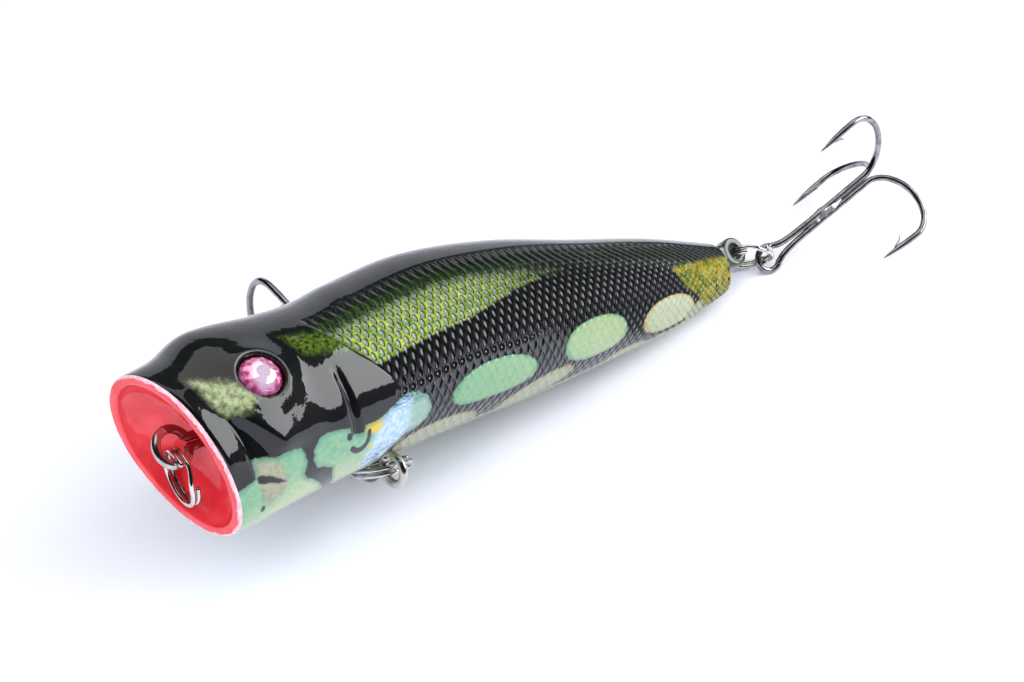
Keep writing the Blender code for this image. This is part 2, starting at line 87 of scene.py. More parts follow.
HEAD_END = 16.6
CUP_ROWS, HEAD_ROWS, REAR_ROWS, AROUND = 34, 128, 215, 250

# Tail lug
LUG_X, LUG_Z = 64.0, 0.55
LUG_RADIUS, LUG_HOLE_RADIUS, LUG_THICKNESS = 1.4, 0.72, 1.4
# Its neck: (x, half height, half width)
LUG_NECK = (
    (58.6, 1.25, 0.66), (60.5, 1.25, 0.7), (61.4, 1.2, 0.8), (61.9, 1.1, 0.72), (62.6, 1.05, 0.69),
    (63.3, 1.0, 0.66),
)

# Scales: length along the body, row numbers down the flank where it is SCALE_GIRTH round,
# and that girth along the body, which closes the rows up towards the tail
SCALE_LENGTH, SCALE_GIRTH = 0.90, 20.6
SCALE_ROWS = (
    (0.0, 4.2, 6.0, 6.6, 9.8, 11.0, 13.25, 24.0),
    (0.04, 1.30, 2.02, 2.39, 5.01, 5.92, 7.5, 15.02),
)
ROW_GIRTH = (
    (0, 20, 30, 35, 40, 45, 50, 56, 62),
    (20.6, 20.6, 20.06, 18.7, 16.95, 15.1, 12.7, 9.8, 6.6),
)
LATERAL_LINE = 7.5

# Eyes
EYE_X, EYE_Z = 5.9, 2.35
EYE_TILT_UP, EYE_TURN_FORWARD = 17.0, 7.0
BROW_HEIGHT, BROW_START, BROW_WIDTH = 0.36, 1.9, 1.1
SOCKET_RADIUS, SOCKET_DEPTH = 1.78, 0.60
FOIL_RADIUS, FOIL_THICKNESS, EYE_GAP = 1.64, 0.25, 0.05
GEM_RADIUS, GEM_TABLE, GEM_HEIGHT, GEM_GIRDLE = 1.62, 0.55, 1.02, 0.25

# Wire fittings
TIE_LOOP, TIE_RADIUS, TIE_WIRE, TIE_END = (0.35, 0.0, 0.1), 1.35, 0.70, 7.5
HANGER_LOOP, HANGER_RADIUS, HANGER_WIRE, HANGER_END = (18.1, 0.0, -7.05), 1.15, 0.70, -1.6
HAIRPIN_GAP = 0.04
FRONT_RING, BELLY_RING, TAIL_RING = (4.7, 0.40), (5.2, 0.40), (4.7, 0.38)
RING_COIL_GAP = 0.03
FRONT_RING_REACH = 0.3
RING_CUT, RING_CUT_TURN = 0.07, 0.3
FRONT_RING_DIRECTION, FRONT_RING_NORMAL = (0.20, 0.46, -0.87), (0.948, -0.303, 0.107)
BELLY_RING_CENTRE, BELLY_RING_NORMAL = (19.0, 2.52, -6.42), (0.0, -0.373, 0.928)
TAIL_RING_CENTRE, TAIL_RING_NORMAL = (66.1, -0.1, -0.25), (0.43, 0.0, 0.90)

# CAD pieces that keep their shape
BALLS = ("rattle_ball_upper", "rattle_ball_lower", "ballast_ball", "transfer_ball_rear", "transfer_ball_front")

# Treble hooks
HOOK_WIRE, SHANK_LENGTH, BEND_RADIUS, BEND_STRETCH = 0.62, 14.2, 3.45, 0.8
POINT_X, POINT_DROP, BUNDLE_RADIUS = 9.9, 0.3, 0.42
BARB_WIRE = 0.40 * HOOK_WIRE
# The needle point: (along, share of the drop, share of the wire's radius)
HOOK_POINT = (
    (0.0, 1.0, 0.07), (0.5, 0.88, 0.36), (1.0, 0.75, 0.58), (1.5, 0.6, 0.76), (2.0, 0.45, 0.90),
    (2.6, 0.3, 0.98), (3.2, 0.15, 1.0), (3.8, 0.04, 1.0),
)
EYE_LOOP_RADIUS, EYE_OPENING, SHANKS_MEET_X, SINGLE_WIRE_START = 1.15, 48.0, 4.6, 6.3
BRAZE_START, BRAZE_END, BRAZE_RADIUS = 6.8, 10.6, 0.66
BELLY_TREBLE = (1.14, (20.0, 4.0, -6.85), (0.091, 0.640, 0.763), (0.944, 0.186, -0.272))
TAIL_TREBLE = (1.0, (67.18, 0.32, -1.47), (0.859, -0.421, 0.291), (0.348, 0.897, 0.271))


def lure_matrix():
    """The lure's frame in the row frame, from two of the joints."""
    x = -Vector(JOINTS["upper_rattle_slide"]["axis"])
    y = Vector(JOINTS["front_ring_swing"]["axis"])
    turn = Matrix((x, y, x.cross(y))).transposed()
    origin = Vector(JOINTS["front_ring_swing"]["pos_m"]) - turn @ (Vector(TIE_LOOP) * MM)
    return Matrix.Translation(origin) @ turn.to_4x4()


LURE = lure_matrix()
LURE_TURN = np.array(LURE.to_3x3())
LURE_AT = np.array(LURE.translation)


def add_piece(name, points, faces, material, body, nodes, attributes=None, flat=False):
    """A mesh piece from points in the lure's frame, in millimetres. It stands for the CAD nodes.

    Its material reads the attribute place, which is the same points, and any others given.
    """
    points = np.asarray(points, float)
    world = (points * MM) @ LURE_TURN.T + LURE_AT
    mesh = bpy.data.meshes.new(name)
    mesh.from_pydata(world.tolist(), [], [tuple(face) for face in faces])
    mesh.update()
    for label, values in {"place": points, **(attributes or {})}.items():
        layer = mesh.attributes.new(label, "FLOAT_VECTOR", "POINT")
        layer.data.foreach_set("vector", np.asarray(values, np.float32).ravel())
    mesh.materials.append(material)
    mesh.polygons.foreach_set("use_smooth", [not flat] * len(mesh.polygons))
    piece = bpy.data.objects.new(name, mesh)
    bpy.context.scene.collection.objects.link(piece)
    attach(piece, body)
    for node in nodes:
        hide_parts(node)


def tube_faces(rings, sides):
    """Quads between rings of points, and a face over each end."""
    index = np.arange(rings * sides).reshape(rings, sides)
    right = np.roll(index, -1, 1)
    quads = np.stack([index[:-1], right[:-1], right[1:], index[1:]], -1).reshape(-1, 4)
    return quads.tolist() + [index[0][::-1].tolist(), index[-1].tolist()]


# Materials


def colour(red, green, blue):
    """A linear colour from the usual 0 to 255 numbers."""
    values = []
    for value in (red, green, blue):
        value /= 255
        values.append(value / 12.92 if value <= 0.04045 else ((value + 0.055) / 1.055) ** 2.4)
    return (*values, 1.0)


BLACK = colour(6, 8, 8)


class Paint:
    """A material under construction, with short names for the nodes it uses."""

    def __init__(self, name):
        self.material = bpy.data.materials.new(name)
        self.material.use_nodes = True
        self.tree = self.material.node_tree
        self.shader = self.tree.nodes["Principled BSDF"]

    def put(self, socket, value):
        if isinstance(value, bpy.types.NodeSocket):
            self.tree.links.new(value, socket)
        elif value is not None:
            socket.default_value = value

    def set(self, **values):
        for name, value in values.items():
            self.put(self.shader.inputs[name.replace("_", " ")], value)

    def node(self, kind, *values, **settings):
        """The outputs of a new node, with its first inputs and its settings filled in."""
        node = self.tree.nodes.new("ShaderNode" + kind)
        for name, setting in settings.items():
            setattr(node, name, setting)
        for socket, value in zip(node.inputs, values):
            self.put(socket, value)
        return node.outputs

    def math(self, operation, first, second=None):
        return self.node("Math", first, second, operation=operation)[0]

    def add(self, first, second):
        return self.math("ADD", first, second)

    def less(self, first, second):
        return self.math("SUBTRACT", first, second)

    def times(self, first, *others):
        for other in others:
            first = self.math("MULTIPLY", first, other)
        return first

    def square(self, value):
        return self.times(value, value)

    def length(self, first, second):
        return self.math("SQRT", self.add(self.math("POWER", first, 2.0), self.math("POWER", second, 2.0)))

    def sway(self, noise, amount):
        """A noise from 0 to 1 as a push of up to half of amount either way."""
        return self.times(self.add(noise, -0.5), amount)

    def step(self, value, low, high, bottom=0.0, top=1.0):
        """Rises smoothly from bottom to top as value goes from low to high."""
        return self.node("MapRange", value, low, high, bottom, top, interpolation_type="SMOOTHSTEP")[0]

    def mix(self, share, first, second):
        """The first colour, and share of the second over it."""
        node = self.tree.nodes.new("ShaderNodeMix")
        node.data_type = "RGBA"
        for socket, value in ((node.inputs[0], share), (node.inputs[6], first), (node.inputs[7], second)):
            self.put(socket, value)
        return node.outputs[2]

    def attribute(self, name):
        return self.node("Attribute", attribute_name=name)["Vector"]

    def split(self, vector):
        return self.node("SeparateXYZ", vector)

    def noise(self, place, scale, detail=2.0, roughness=0.5):
        return self.node("TexNoise", place, None, scale, detail, roughness)["Fac"]

    def cells(self, place, scale):
        """The distance to the nearest of some scattered points, as a share of their spacing."""
        return self.node("TexVoronoi", place, None, scale)["Distance"]

    def stretch(self, vector, factors):
        return self.node("VectorMath", vector, factors, operation="MULTIPLY")[0]

    def object_place(self):
        """The point in the object's own frame, in millimetres."""
        return self.stretch(self.node("TexCoord")["Object"], (1000, 1000, 1000))

    def bump(self, height, depth_mm, strength=1.0, normal=None):
        node = self.tree.nodes.new("ShaderNodeBump")
        values = {"Strength": strength, "Distance": depth_mm * MM, "Height": height, "Normal": normal}
        for name, value in values.items():
            self.put(node.inputs[name], value)
        return node.outputs[0]


# Body outline


def outline(x, column):
    """The body's outline at x: a cubic through the stations with even tangents."""
    xs = np.array([station[0] for station in BODY_STATIONS])
    values = np.array([station[column] for station in BODY_STATIONS])
    x = np.clip(x, xs[0], xs[-1])
    i = np.clip(np.searchsorted(xs, x, side="right") - 1, 0, len(xs) - 2)

    def slope(k):
        before, after = np.maximum(k - 1, 0), np.minimum(k + 1, len(xs) - 1)
        return (values[after] - values[before]) / (xs[after] - xs[before])

    width = xs[i + 1] - xs[i]
    t = (x - xs[i]) / width
    return (
        (2 * t**3 - 3 * t**2 + 1) * values[i]
        + (t**3 - 2 * t**2 + t) * width * slope(i)
        + (3 * t**2 - 2 * t**3) * values[i + 1]
        + (t**3 - t**2) * width * slope(i + 1)
    )


def slant_shift(x, z):
    """How far the slanted mouth draws the skin back at height z."""
    return math.tan(math.radians(MOUTH_SLANT)) * z * np.maximum(0, 1 - x / SLANT_FADE)


def skin_point(x, angle, inset=0.0):
    """The point on the body's outline at x, with the angle turned from the back."""
    back, belly, width = (outline(x, k) - inset for k in (1, 2, 3))
    y = width * np.sin(angle)
    z = np.cos(angle) * np.where(np.cos(angle) > 0, back, belly)
    return np.stack([x - slant_shift(x, z), y, z], -1)


def smoothstep(value, low, high):
    t = np.clip((value - low) / (high - low), 0, 1)
    return t * t * (3 - 2 * t)


def hump(value, centre, width):
    return np.exp(-(((value - centre) / width) ** 2))


def inside_shape(x, t, corners):
    """How far inside a closed outline each point is, in millimetres; outside is below 0."""
    corners = np.array(corners, float)
    best = np.full(x.shape, 1e9)
    inside = np.zeros(x.shape, bool)
    for (x1, t1), (x2, t2) in zip(corners, np.roll(corners, -1, 0)):
        along = ((x - x1) * (x2 - x1) + (t - t1) * (t2 - t1)) / ((x2 - x1) ** 2 + (t2 - t1) ** 2)
        along = np.clip(along, 0, 1)
        best = np.minimum(best, np.hypot(x - x1 - along * (x2 - x1), t - t1 - along * (t2 - t1)))
        if t1 != t2:
            inside ^= ((t1 > t) != (t2 > t)) & (x < (x2 - x1) * (t - t1) / (t2 - t1) + x1)
    return np.where(inside, best, -best)


def inside_oval(x, t, centre, half_length, half_height, tilt):
    """The same for an oval, tilted up towards the tail by tilt degrees."""
    c, s = math.cos(math.radians(tilt)), math.sin(math.radians(tilt))
    u = ((x - centre[0]) * c - (t - centre[1]) * s) / half_length
    v = ((x - centre[0]) * s + (t - centre[1]) * c) / half_height
    far = np.sqrt(np.abs(u) ** 2.2 + np.abs(v) ** 2.2) + 1e-6
    return (1 - far) * half_height


def eye_seat(side):
    """The socket's centre and its axes: outward, up-and-along, and the third."""
    y = side * float(outline(EYE_X, 3)) * math.sqrt(1 - (EYE_Z / float(outline(EYE_X, 1))) ** 2)
    turn, tilt = math.radians(EYE_TURN_FORWARD), math.radians(EYE_TILT_UP)
    out = Vector((-math.sin(turn), side * math.cos(tilt), math.sin(tilt))).normalized()
    up = Vector((0, 0, 1))
    up = (up - up.dot(out) * out).normalized()
    return np.array((EYE_X, y, EYE_Z)), np.array((out, up.cross(out), up))


# The painted body


def scale_lattice(x, t):
    """Cell coordinates of the rhombic scales: whole numbers on the scales' edges."""
    girth = np.interp(x, *ROW_GIRTH)
    rows = np.interp(SCALE_GIRTH * t / girth, *SCALE_ROWS)
    along = x / SCALE_LENGTH
    return along + rows, along - rows


def scaled_area(x, t):
    """Millimetres past the head plate's edge, and about as much inside the scaled flank."""
    edge = np.interp(
        t,
        (0, 4, 5, 6, 7, 8, 9, 10, 11, 12, 13, 13.7, 15, 16.5, 17.5, 18.5, 23),
        (12.2, 12.3, 12.5, 12.9, 13.5, 14.0, 14.6, 15.4, 16.1, 16.8, 17.3, 17.6, 19.6, 19.4, 17.4, 16.2, 15.5),
    )
    top = np.interp(x, (12, 20, 30, 40, 56, 62), (4.6, 4.2, 3.9, 3.3, 2.6, 1.9))
    return x - edge, np.minimum(x - edge, 0.6 * (t - top))


def relief(x, t, a, b, plate, scaled):
    """Height of the moulded detail above the plain outline, in millimetres."""
    fa, fb = a - np.floor(a), b - np.floor(b)
    tile = 1 - 2 * ((fa - 0.5) ** 2 + (fb - 0.5) ** 2)
    scales = smoothstep(scaled, 0, 0.8) * (0.05 * tile * smoothstep(t, 4.6, 7.2) - 0.04)
    head_plate = 0.10 * (1 - smoothstep(plate, -0.12, 0.12)) * smoothstep(x, 9, 13) * smoothstep(t, 4.2, 6.5)
    ridge = 3.2 + 0.5 * (t - 9.5)
    cheek = smoothstep(x, ridge - 1.2, ridge + 0.2) * (1 - smoothstep(x, 7.3, 10.0))
    cheek *= 1.0 + 1.5 * (1 - smoothstep(x, ridge, ridge + 2.8))
    cheek *= 0.27 * smoothstep(t, 6.5, 9.5) * (1 - smoothstep(t, 13.0, 14.8))
    lip = 0.24 * hump(x, 0.35, 1.15) * smoothstep(t, 4, 6) * (1 - smoothstep(t, 11.5, 13.5))
    lip_groove = 0.13 * hump(x, 2.25, 0.28) * smoothstep(t, 6, 8) * (1 - smoothstep(t, 15.0, 17.0))
    gill_groove = 0.22 * hump(x, 12.15 + 0.05 * (t - 12), 0.34)
    gill_groove *= smoothstep(t, 8.6, 10.6) * (1 - smoothstep(t, 14.6, 15.6))
    return scales + head_plate + cheek + lip - lip_groove - gill_groove


def body_rows():
    """Rings from the middle of the cup over the rim to the tail, with the x and kind of each.

    Kind is above 0 in the cup, falls to -LIP across the rim and goes on falling along the skin.
    The last number returned is the first ring that the moulded detail may move.
    """
    angle = np.linspace(0, math.tau, AROUND, endpoint=False)
    rows, kinds, xs = [], [], []

    def row(x, inset, kind, push=0.0):
        ring = skin_point(np.full(AROUND, float(x)), angle, inset)
        ring[:, 0] += push
        rows.append(ring)
        kinds.append(kind)
        xs.append(x)

    cup_edge = skin_point(np.zeros(AROUND), angle, LIP)
    for share in np.sin(np.linspace(0, np.pi / 2, CUP_ROWS + 1))[1:]:
        ring = cup_edge * (1, share, share)
        ring[:, 0] = CUP_DEPTH * math.sqrt(max(0.0, 1 - share**2)) - slant_shift(0.0, ring[:, 2])
        rows.append(ring)
        kinds.append((1 - share) * 5.5 + 0.001)
        xs.append(0.0)
    for k in range(1, 5):
        rise = math.sin(math.radians(90 * k / 4))
        row(0.0, LIP - RIM_INNER_ROUND * rise, -0.03 * k, -RIM_PROUD * rise)
    for inset in (0.44, 0.30):
        row(0.0, inset, inset - LIP, -RIM_PROUD)
    for k in range(6):
        turn = math.radians(90 * k / 5)
        inset = RIM_OUTER_ROUND * (1 - math.sin(turn))
        row(0.0, inset, inset - LIP, RIM_ROUND_DEPTH * (1 - math.cos(turn)) - RIM_PROUD)
    skin_start = len(rows) - 1
    head = np.linspace(0, HEAD_END, HEAD_ROWS)[2:]
    rear = np.linspace(HEAD_END, BODY_LENGTH - TAIL_ROUND, REAR_ROWS)[1:]
    for x in (*head, *rear):
        row(x, 0.0, -LIP - x)
    for k in range(1, 9):
        turn = math.radians(90 * k / 8)
        x = BODY_LENGTH - TAIL_ROUND + TAIL_ROUND * math.sin(turn)
        row(x, TAIL_ROUND * (1 - math.cos(turn)), -LIP - x)
    for inset in (1.0, 1.3, 1.6):
        row(BODY_LENGTH, inset, -LIP - BODY_LENGTH)
    return np.array(rows), np.array(xs, float), np.array(kinds, float), skin_start


def flank_distance(grid):
    """Distance down the flank from the middle of the back, the same on both sides."""
    half = AROUND // 2
    gaps = np.linalg.norm(np.diff(np.concatenate([grid, grid[:, :1]], 1), axis=1), axis=2)
    down = np.zeros(grid.shape[:2])
    down[:, 1 : half + 1] = np.cumsum(gaps[:, :half], 1)
    down[:, half + 1 :] = np.cumsum(gaps[:, ::-1][:, : half - 1], 1)[:, ::-1]
    return down


def outward_normals(grid):
    along = np.gradient(grid, axis=0)
    across = np.roll(grid, -1, 1) - np.roll(grid, 1, 1)
    normal = np.cross(across, along)
    normal /= np.linalg.norm(normal, axis=2)[..., None] + 1e-12
    return normal * np.sign((normal * grid * (0, 1, 1)).sum(2).mean())


def sink_eyes(place, on_skin):
    """Presses both eye sockets into the skin, each with its brow, and measures from their middles."""
    eye_far = np.full(place.shape[:2], 9.0)
    for side in (-1, 1):
        centre, axes = eye_seat(side)
        local = (place - centre) @ axes.T
        far = np.hypot(local[..., 1], local[..., 2])
        near = on_skin & (far < 7) & (local[..., 0] > -4)
        local[..., 0] += BROW_HEIGHT * np.exp(-((np.maximum(far - BROW_START, 0) / BROW_WIDTH) ** 1.8)) * near
        wall = smoothstep(far, SOCKET_RADIUS - 0.12, SOCKET_RADIUS + 0.16)
        floor = -SOCKET_DEPTH + 0.02
        sunk = floor + (local[..., 0] - floor) * wall
        local[..., 0] = np.where(near, sunk, local[..., 0])
        place = np.where(near[..., None], local @ axes + centre, place)
        eye_far = np.where(near, np.minimum(eye_far, far), eye_far)
    return place, eye_far


# Painted patches of the flank: outlines as (x, distance down the flank)
MINT_BY_MOUTH = (
    (-1, 14.0), (2.1, 13.9), (2.2, 12.5), (2.6, 12.5), (3.3, 12.9), (4.4, 13.8), (5.5, 14.1), (6.5, 14.3),
    (6.9, 14.9), (6.95, 15.8), (6.6, 16.6), (6.9, 17.1), (7.9, 17.6), (8.8, 18.4), (9.7, 19.4),
    (10.6, 20.6), (10, 24), (-1, 24),
)
MINT_BY_GILL = (
    (8.5, 14.15), (9.4, 13.9), (10.5, 13.9), (11.5, 14.1), (11.7, 14.75), (13.0, 14.8), (13.2, 14.3),
    (14.8, 14.2), (16.0, 13.9), (17.5, 13.5), (19.0, 13.8), (19.9, 14.5), (20.3, 15.6), (20.0, 16.4),
    (19.0, 16.8), (17.6, 16.9), (16.8, 17.6), (16.3, 18.4), (16.2, 24), (12.2, 24), (11.6, 20.6),
    (10.6, 19.0), (9.95, 17.6), (9.8, 17.0), (8.9, 16.7), (8.0, 16.6), (7.65, 15.8), (7.75, 14.9),
)
SPECKLED_TAIL = (
    (51.9, 6.2), (54.5, 5.2), (57.5, 4.3), (60, 3.3), (63, 2.4), (63, 6.4), (59, 8.2), (56.5, 8.9),
    (55.2, 8.3), (53.0, 7.6),
)
GREEN_BEHIND_EYE = (
    (9.9, 5.7), (11.4, 6.0), (13.0, 6.4), (13.9, 7.4), (14.9, 8.9), (13.6, 8.5), (12.2, 8.1), (10.6, 7.7),
)
PALE_BEFORE_EYE = (
    (1.95, 5.3), (2.7, 5.8), (3.6, 6.8), (4.4, 8.2), (4.6, 9.4), (3.9, 9.7), (2.9, 9.0), (2.15, 8.7),
    (1.9, 7.2),
)
BLUE_WASH = (
    (14.2, 14.0), (17.4, 11.5), (22.5, 12.0), (22.6, 17.2), (17.4, 19.4), (13.4, 19.5), (12.8, 17.6),
    (13.6, 15.6),
)
BROWN_WASH = ((2.2, 12.4), (3.3, 13.0), (4.6, 14.4), (5.0, 16.2), (4.4, 16.9), (2.6, 16.6), (2.2, 15))
DARK_STROKES = (
    ((2.15, 13.9), (2.6, 13.9), (3.4, 14.5), (4.2, 15.4), (4.95, 16.3), (3.9, 15.6), (3.1, 14.9), (2.2, 14.45)),
    ((7.9, 17.2), (8.9, 16.75), (9.7, 16.95), (9.2, 17.6), (8.4, 17.8)),
)
# Ovals as (middle, half length, half height, tilt)
MINT_OVALS = (
    ((27.45, 15.4), 4.85, 1.62, 4),
    ((39.85, 12.95), 4.2, 1.72, 17),
    ((50.35, 10.45), 4.1, 1.55, 19),
)
CREAM_OVALS = (
    ((21.9, 18.8), 4.6, 1.35, -4),
    ((33.2, 17.5), 4.5, 1.15, 22),
    ((45.2, 14.55), 2.9, 0.6, 20),
)
DARK_SPOTS = (((2.35, 16.8), 0.22, 0.3, 0), ((11.45, 14.75), 0.28, 0.32, 0))
YELLOW_SPOTS = (((14.15, 14.6), 0.95, 0.55, -8), ((13.95, 16.3), 0.25, 0.4, 20))
HOOK_MARK, HOOK_MARK_RADIUS, HOOK_MARK_LINE = (12.55, 15.05), 1.02, 0.24
# Edges of the lime band and the belly's cream, as two rows of matching places
BAND_FRONT = ((5, 6, 7, 8, 9, 10, 11), (12.4, 12.6, 13.2, 13.9, 14.6, 15.4, 16.1))
BAND_BOTTOM = ((13, 26, 30, 33, 35, 38, 44), (10.7, 10.3, 9.3, 8.4, 7.9, 7.4, 6.8))
TAIL_CREAM_TOP = ((50, 55, 58, 62), (13, 8.6, 7.0, 5.4))
BELLY_CREAM = 1.2


def hook_mark(x, down):
    """The thin dark hook painted behind the gill: most of a ring, open towards the back."""
    ring = np.hypot(x - HOOK_MARK[0], (down - HOOK_MARK[1]) * 0.92) - HOOK_MARK_RADIUS
    opening = smoothstep(-(down - 15.5) - 0.55 * (x - 12.5), 0.1, 0.9)
    return HOOK_MARK_LINE - np.abs(ring) - 0.9 * opening


def paint_map(x, down, girth):
    """How far inside each painted patch every point is; the lime band is a share instead."""

    def shapes(*outlines):
        return np.maximum.reduce([inside_shape(x, down, corners) for corners in outlines])

    def ovals(*several):
        return np.maximum.reduce([inside_oval(x, down, *oval) for oval in several])

    belly = down - (girth - BELLY_CREAM)
    under_tail = np.minimum(down - np.interp(x, *TAIL_CREAM_TOP), x - 53.5)
    cream = np.maximum.reduce([ovals(*CREAM_OVALS), belly, under_tail])
    green = (
        smoothstep(x - np.interp(down, *BAND_FRONT), -0.2, 0.4)
        * smoothstep(down, 4.7, 6.0)
        * (1 - smoothstep(down - np.interp(x, *BAND_BOTTOM), -0.4, 0.3))
        * (1 - 0.35 * smoothstep(x, 26, 34) - 0.65 * smoothstep(x, 33, 46))
    )
    marks = np.maximum.reduce([shapes(*DARK_STROKES), ovals(*DARK_SPOTS), hook_mark(x, down)])
    yellow = np.maximum(ovals(YELLOW_SPOTS[0]), ovals(YELLOW_SPOTS[1]) - 0.1)
    return {
        "patches": (shapes(MINT_BY_MOUTH, MINT_BY_GILL), ovals(*MINT_OVALS), cream),
        "bands": (green, shapes(SPECKLED_TAIL), marks),
        "tints": (np.minimum(shapes(BLUE_WASH), 3), yellow, shapes(BROWN_WASH)),
        "head": (shapes(GREEN_BEHIND_EYE), shapes(PALE_BEFORE_EYE)),
    }


def make_body(material):
    grid, xs, kinds, skin_start = body_rows()
    x = np.repeat(xs[:, None], AROUND, 1)
    kind = np.repeat(kinds[:, None], AROUND, 1)
    on_skin = (np.arange(len(grid)) >= skin_start)[:, None]
    down = flank_distance(grid)
    a, b = scale_lattice(x, down)
    plate, scaled = scaled_area(x, down)
    fade = on_skin * smoothstep(x, 0.0, 0.35) * (1 - smoothstep(x, 60.2, 61.0))
    height = relief(x, down, a, b, plate, scaled) * fade
    place, eye_far = sink_eyes(grid + outward_normals(grid) * height[..., None], on_skin)
    layers = paint_map(x, down, down[:, AROUND // 2, None])
    layers["flank"] = (x, down, kind)
    layers["lattice"] = (a, b, scaled)
    layers["head"] += (eye_far,)
    attributes = {name: np.stack([layer.ravel() for layer in three], -1) for name, three in layers.items()}
    add_piece(
        "painted_body_shell", place.reshape(-1, 3), tube_faces(len(grid), AROUND), material,
        "lure", ("body_half_left", "body_half_right"), attributes,
    )


class Skin(Paint):
    """The fish paint: where each point lies in the pattern, for the layers of paint below."""

    def __init__(self):
        super().__init__("fish_paint_under_clear_coat")
        self.place = self.attribute("place")
        self.x, self.down, self.kind = self.split(self.attribute("flank"))
        a, b, self.scaled = self.split(self.attribute("lattice"))
        self.mint, self.ovals, self.cream = self.split(self.attribute("patches"))
        self.green, self.tail, self.marks = self.split(self.attribute("bands"))
        self.blue, self.yellow, self.brown = self.split(self.attribute("tints"))
        self.behind_eye, self.before_eye, self.eye_far = self.split(self.attribute("head"))

        self.wavy = self.add(self.noise(self.place, 1.1, 3.0, 0.6), -0.5)
        self.grainy = self.add(self.noise(self.place, 7.0, 2.0, 0.7), -0.5)
        self.speckle = self.noise(self.place, 9.0, 2.0, 0.8)
        self.mottle = self.noise(self.place, 2.2, 3.0, 0.6)

        # Place in a scale: a and b run across its two pairs of sides, from 0 to 1
        fa, fb = self.math("FRACT", a), self.math("FRACT", b)
        side_a = self.math("MINIMUM", fa, self.less(1.0, fa))
        self.side_b = self.math("MINIMUM", fb, self.less(1.0, fb))
        self.from_side = self.math("MINIMUM", side_a, self.side_b)
        self.crevice = self.math("MINIMUM", fa, fb)
        self.half_a, self.half_b = self.add(fa, -0.5), self.add(fb, -0.5)
        self.off_centre = self.add(self.square(self.half_a), self.square(self.half_b))
        self.in_scales = self.step(self.scaled, -0.05, 0.15)
        self.rows = self.times(self.less(a, b), 0.5)

        # Distance from the nearest pore of the lateral line, in scales
        along = self.less(self.math("FRACT", self.times(self.add(a, b), 0.5)), 0.5)
        across = self.less(self.rows, LATERAL_LINE)
        self.pore = self.length(self.times(along, 0.9), self.times(across, 1.4))
        self.pore_zone = self.times(self.step(self.x, 16.5, 17.5), self.step(self.x, 36.0, 30.0))
        self.near_pore = self.times(self.step(self.pore, 0.46, 0.34), self.pore_zone)

    def soft(self, distance, width=0.08, wave=0.35, grain=0.28):
        """A patch's share, with its edge made wavy and grainy."""
        edge = self.add(distance, self.add(self.times(self.wavy, wave), self.times(self.grainy, grain)))
        return self.step(edge, -width, width)

    def mottled(self, first, second, low=0.3, high=0.7):
        return self.mix(self.step(self.mottle, low, high), first, second)

    def pastel(self, first, second):
        """A pale airbrushed tone with fine warm and cool grains."""
        grains = self.mix(self.step(self.speckle, 0.35, 0.7), colour(232, 214, 160), colour(120, 200, 170))
        share = self.times(self.step(self.noise(self.place, 14.0, 1.0), 0.4, 0.7), 0.275)
        return self.mix(share, self.mottled(first, second), grains)


def black_back(p):
    """Black that turns slate towards the belly, with the scales' sides drawn on it."""
    paint = p.mix(p.step(p.down, 12.0, 14.6), BLACK, colour(14, 14, 22))
    greenish = p.times(p.step(p.mottle, 0.45, 0.7), p.step(p.down, 8.0, 4.5, 0.0, 0.5))
    paint = p.mix(greenish, paint, colour(14, 30, 12))
    line = p.mix(p.step(p.down, 11.5, 14.0), colour(3, 4, 4), colour(62, 62, 78))
    paint = p.mix(p.times(p.step(p.crevice, 0.17, 0.02), p.in_scales, 0.8), paint, line)
    # Pale spots on the middles of the scales in these rows: a painted glint.
    glint_rows = p.times(p.step(p.rows, 1.9, 2.4), p.step(p.rows, 7.2, 5.4))
    painted_glint = p.times(glint_rows, p.step(p.from_side, 0.24, 0.36), p.in_scales, 0.10)
    paint = p.mix(painted_glint, paint, colour(112, 118, 114))
    # Pale diagonal lines on the scale edges near the back: painted highlight.
    highlight_streaks = p.times(p.step(p.down, 6.4, 5.6), p.step(p.scaled, 0.0, 0.5))
    return p.mix(p.times(highlight_streaks, p.step(p.side_b, 0.20, 0.08), 0.8), paint, colour(84, 92, 80))


def lime_band(p, paint):
    """Lime between the scales, a silver middle on each that is partly silver paint and partly a painted glint,
    and a dark crescent behind it that is partly dark paint and partly painted shade.
    """
    place = p.place
    fresh = p.step(p.noise(place, 1.6, 2.0, 0.6), 0.35, 0.65)
    lime = p.mix(fresh, colour(108, 156, 22), colour(206, 220, 84))
    dusky = p.mottled(colour(18, 44, 6), colour(58, 96, 22), 0.35, 0.65)
    lime = p.mix(p.step(p.add(p.down, p.times(p.wavy, 1.6)), 7.6, 6.2), lime, dusky)
    # Silver middles of the scales: partly silver paint, partly a painted glint.
    silver_and_glint = p.mix(p.step(p.speckle, 0.3, 0.6), colour(70, 84, 70), colour(146, 158, 142))
    high_up = p.step(p.add(p.down, p.times(p.wavy, 1.2)), 7.0, 6.0)
    silver_and_glint = p.mix(high_up, silver_and_glint, colour(16, 30, 12))
    patchy = p.add(p.off_centre, p.sway(p.noise(place, 1.5, 2.0), 0.16))
    band = p.mix(p.times(p.step(patchy, 0.25, 0.13), 0.9), lime, silver_and_glint)
    # A near-black crescent on the tailward side of each scale: partly dark paint, partly painted shade.
    tailward = p.add(p.add(p.half_a, p.half_b), p.times(p.wavy, 0.3))
    crescent = p.times(p.step(p.off_centre, 0.08, 0.12), p.step(p.off_centre, 0.26, 0.20))
    crescent = p.times(crescent, p.step(tailward, 0.02, 0.20), 0.96)
    band = p.mix(crescent, band, colour(4, 7, 4))
    worn = p.add(p.noise(place, 1.3, 3.0, 0.7), p.times(p.green, 0.9))
    return p.mix(p.times(p.green, p.step(worn, 0.82, 1.14)), paint, band)


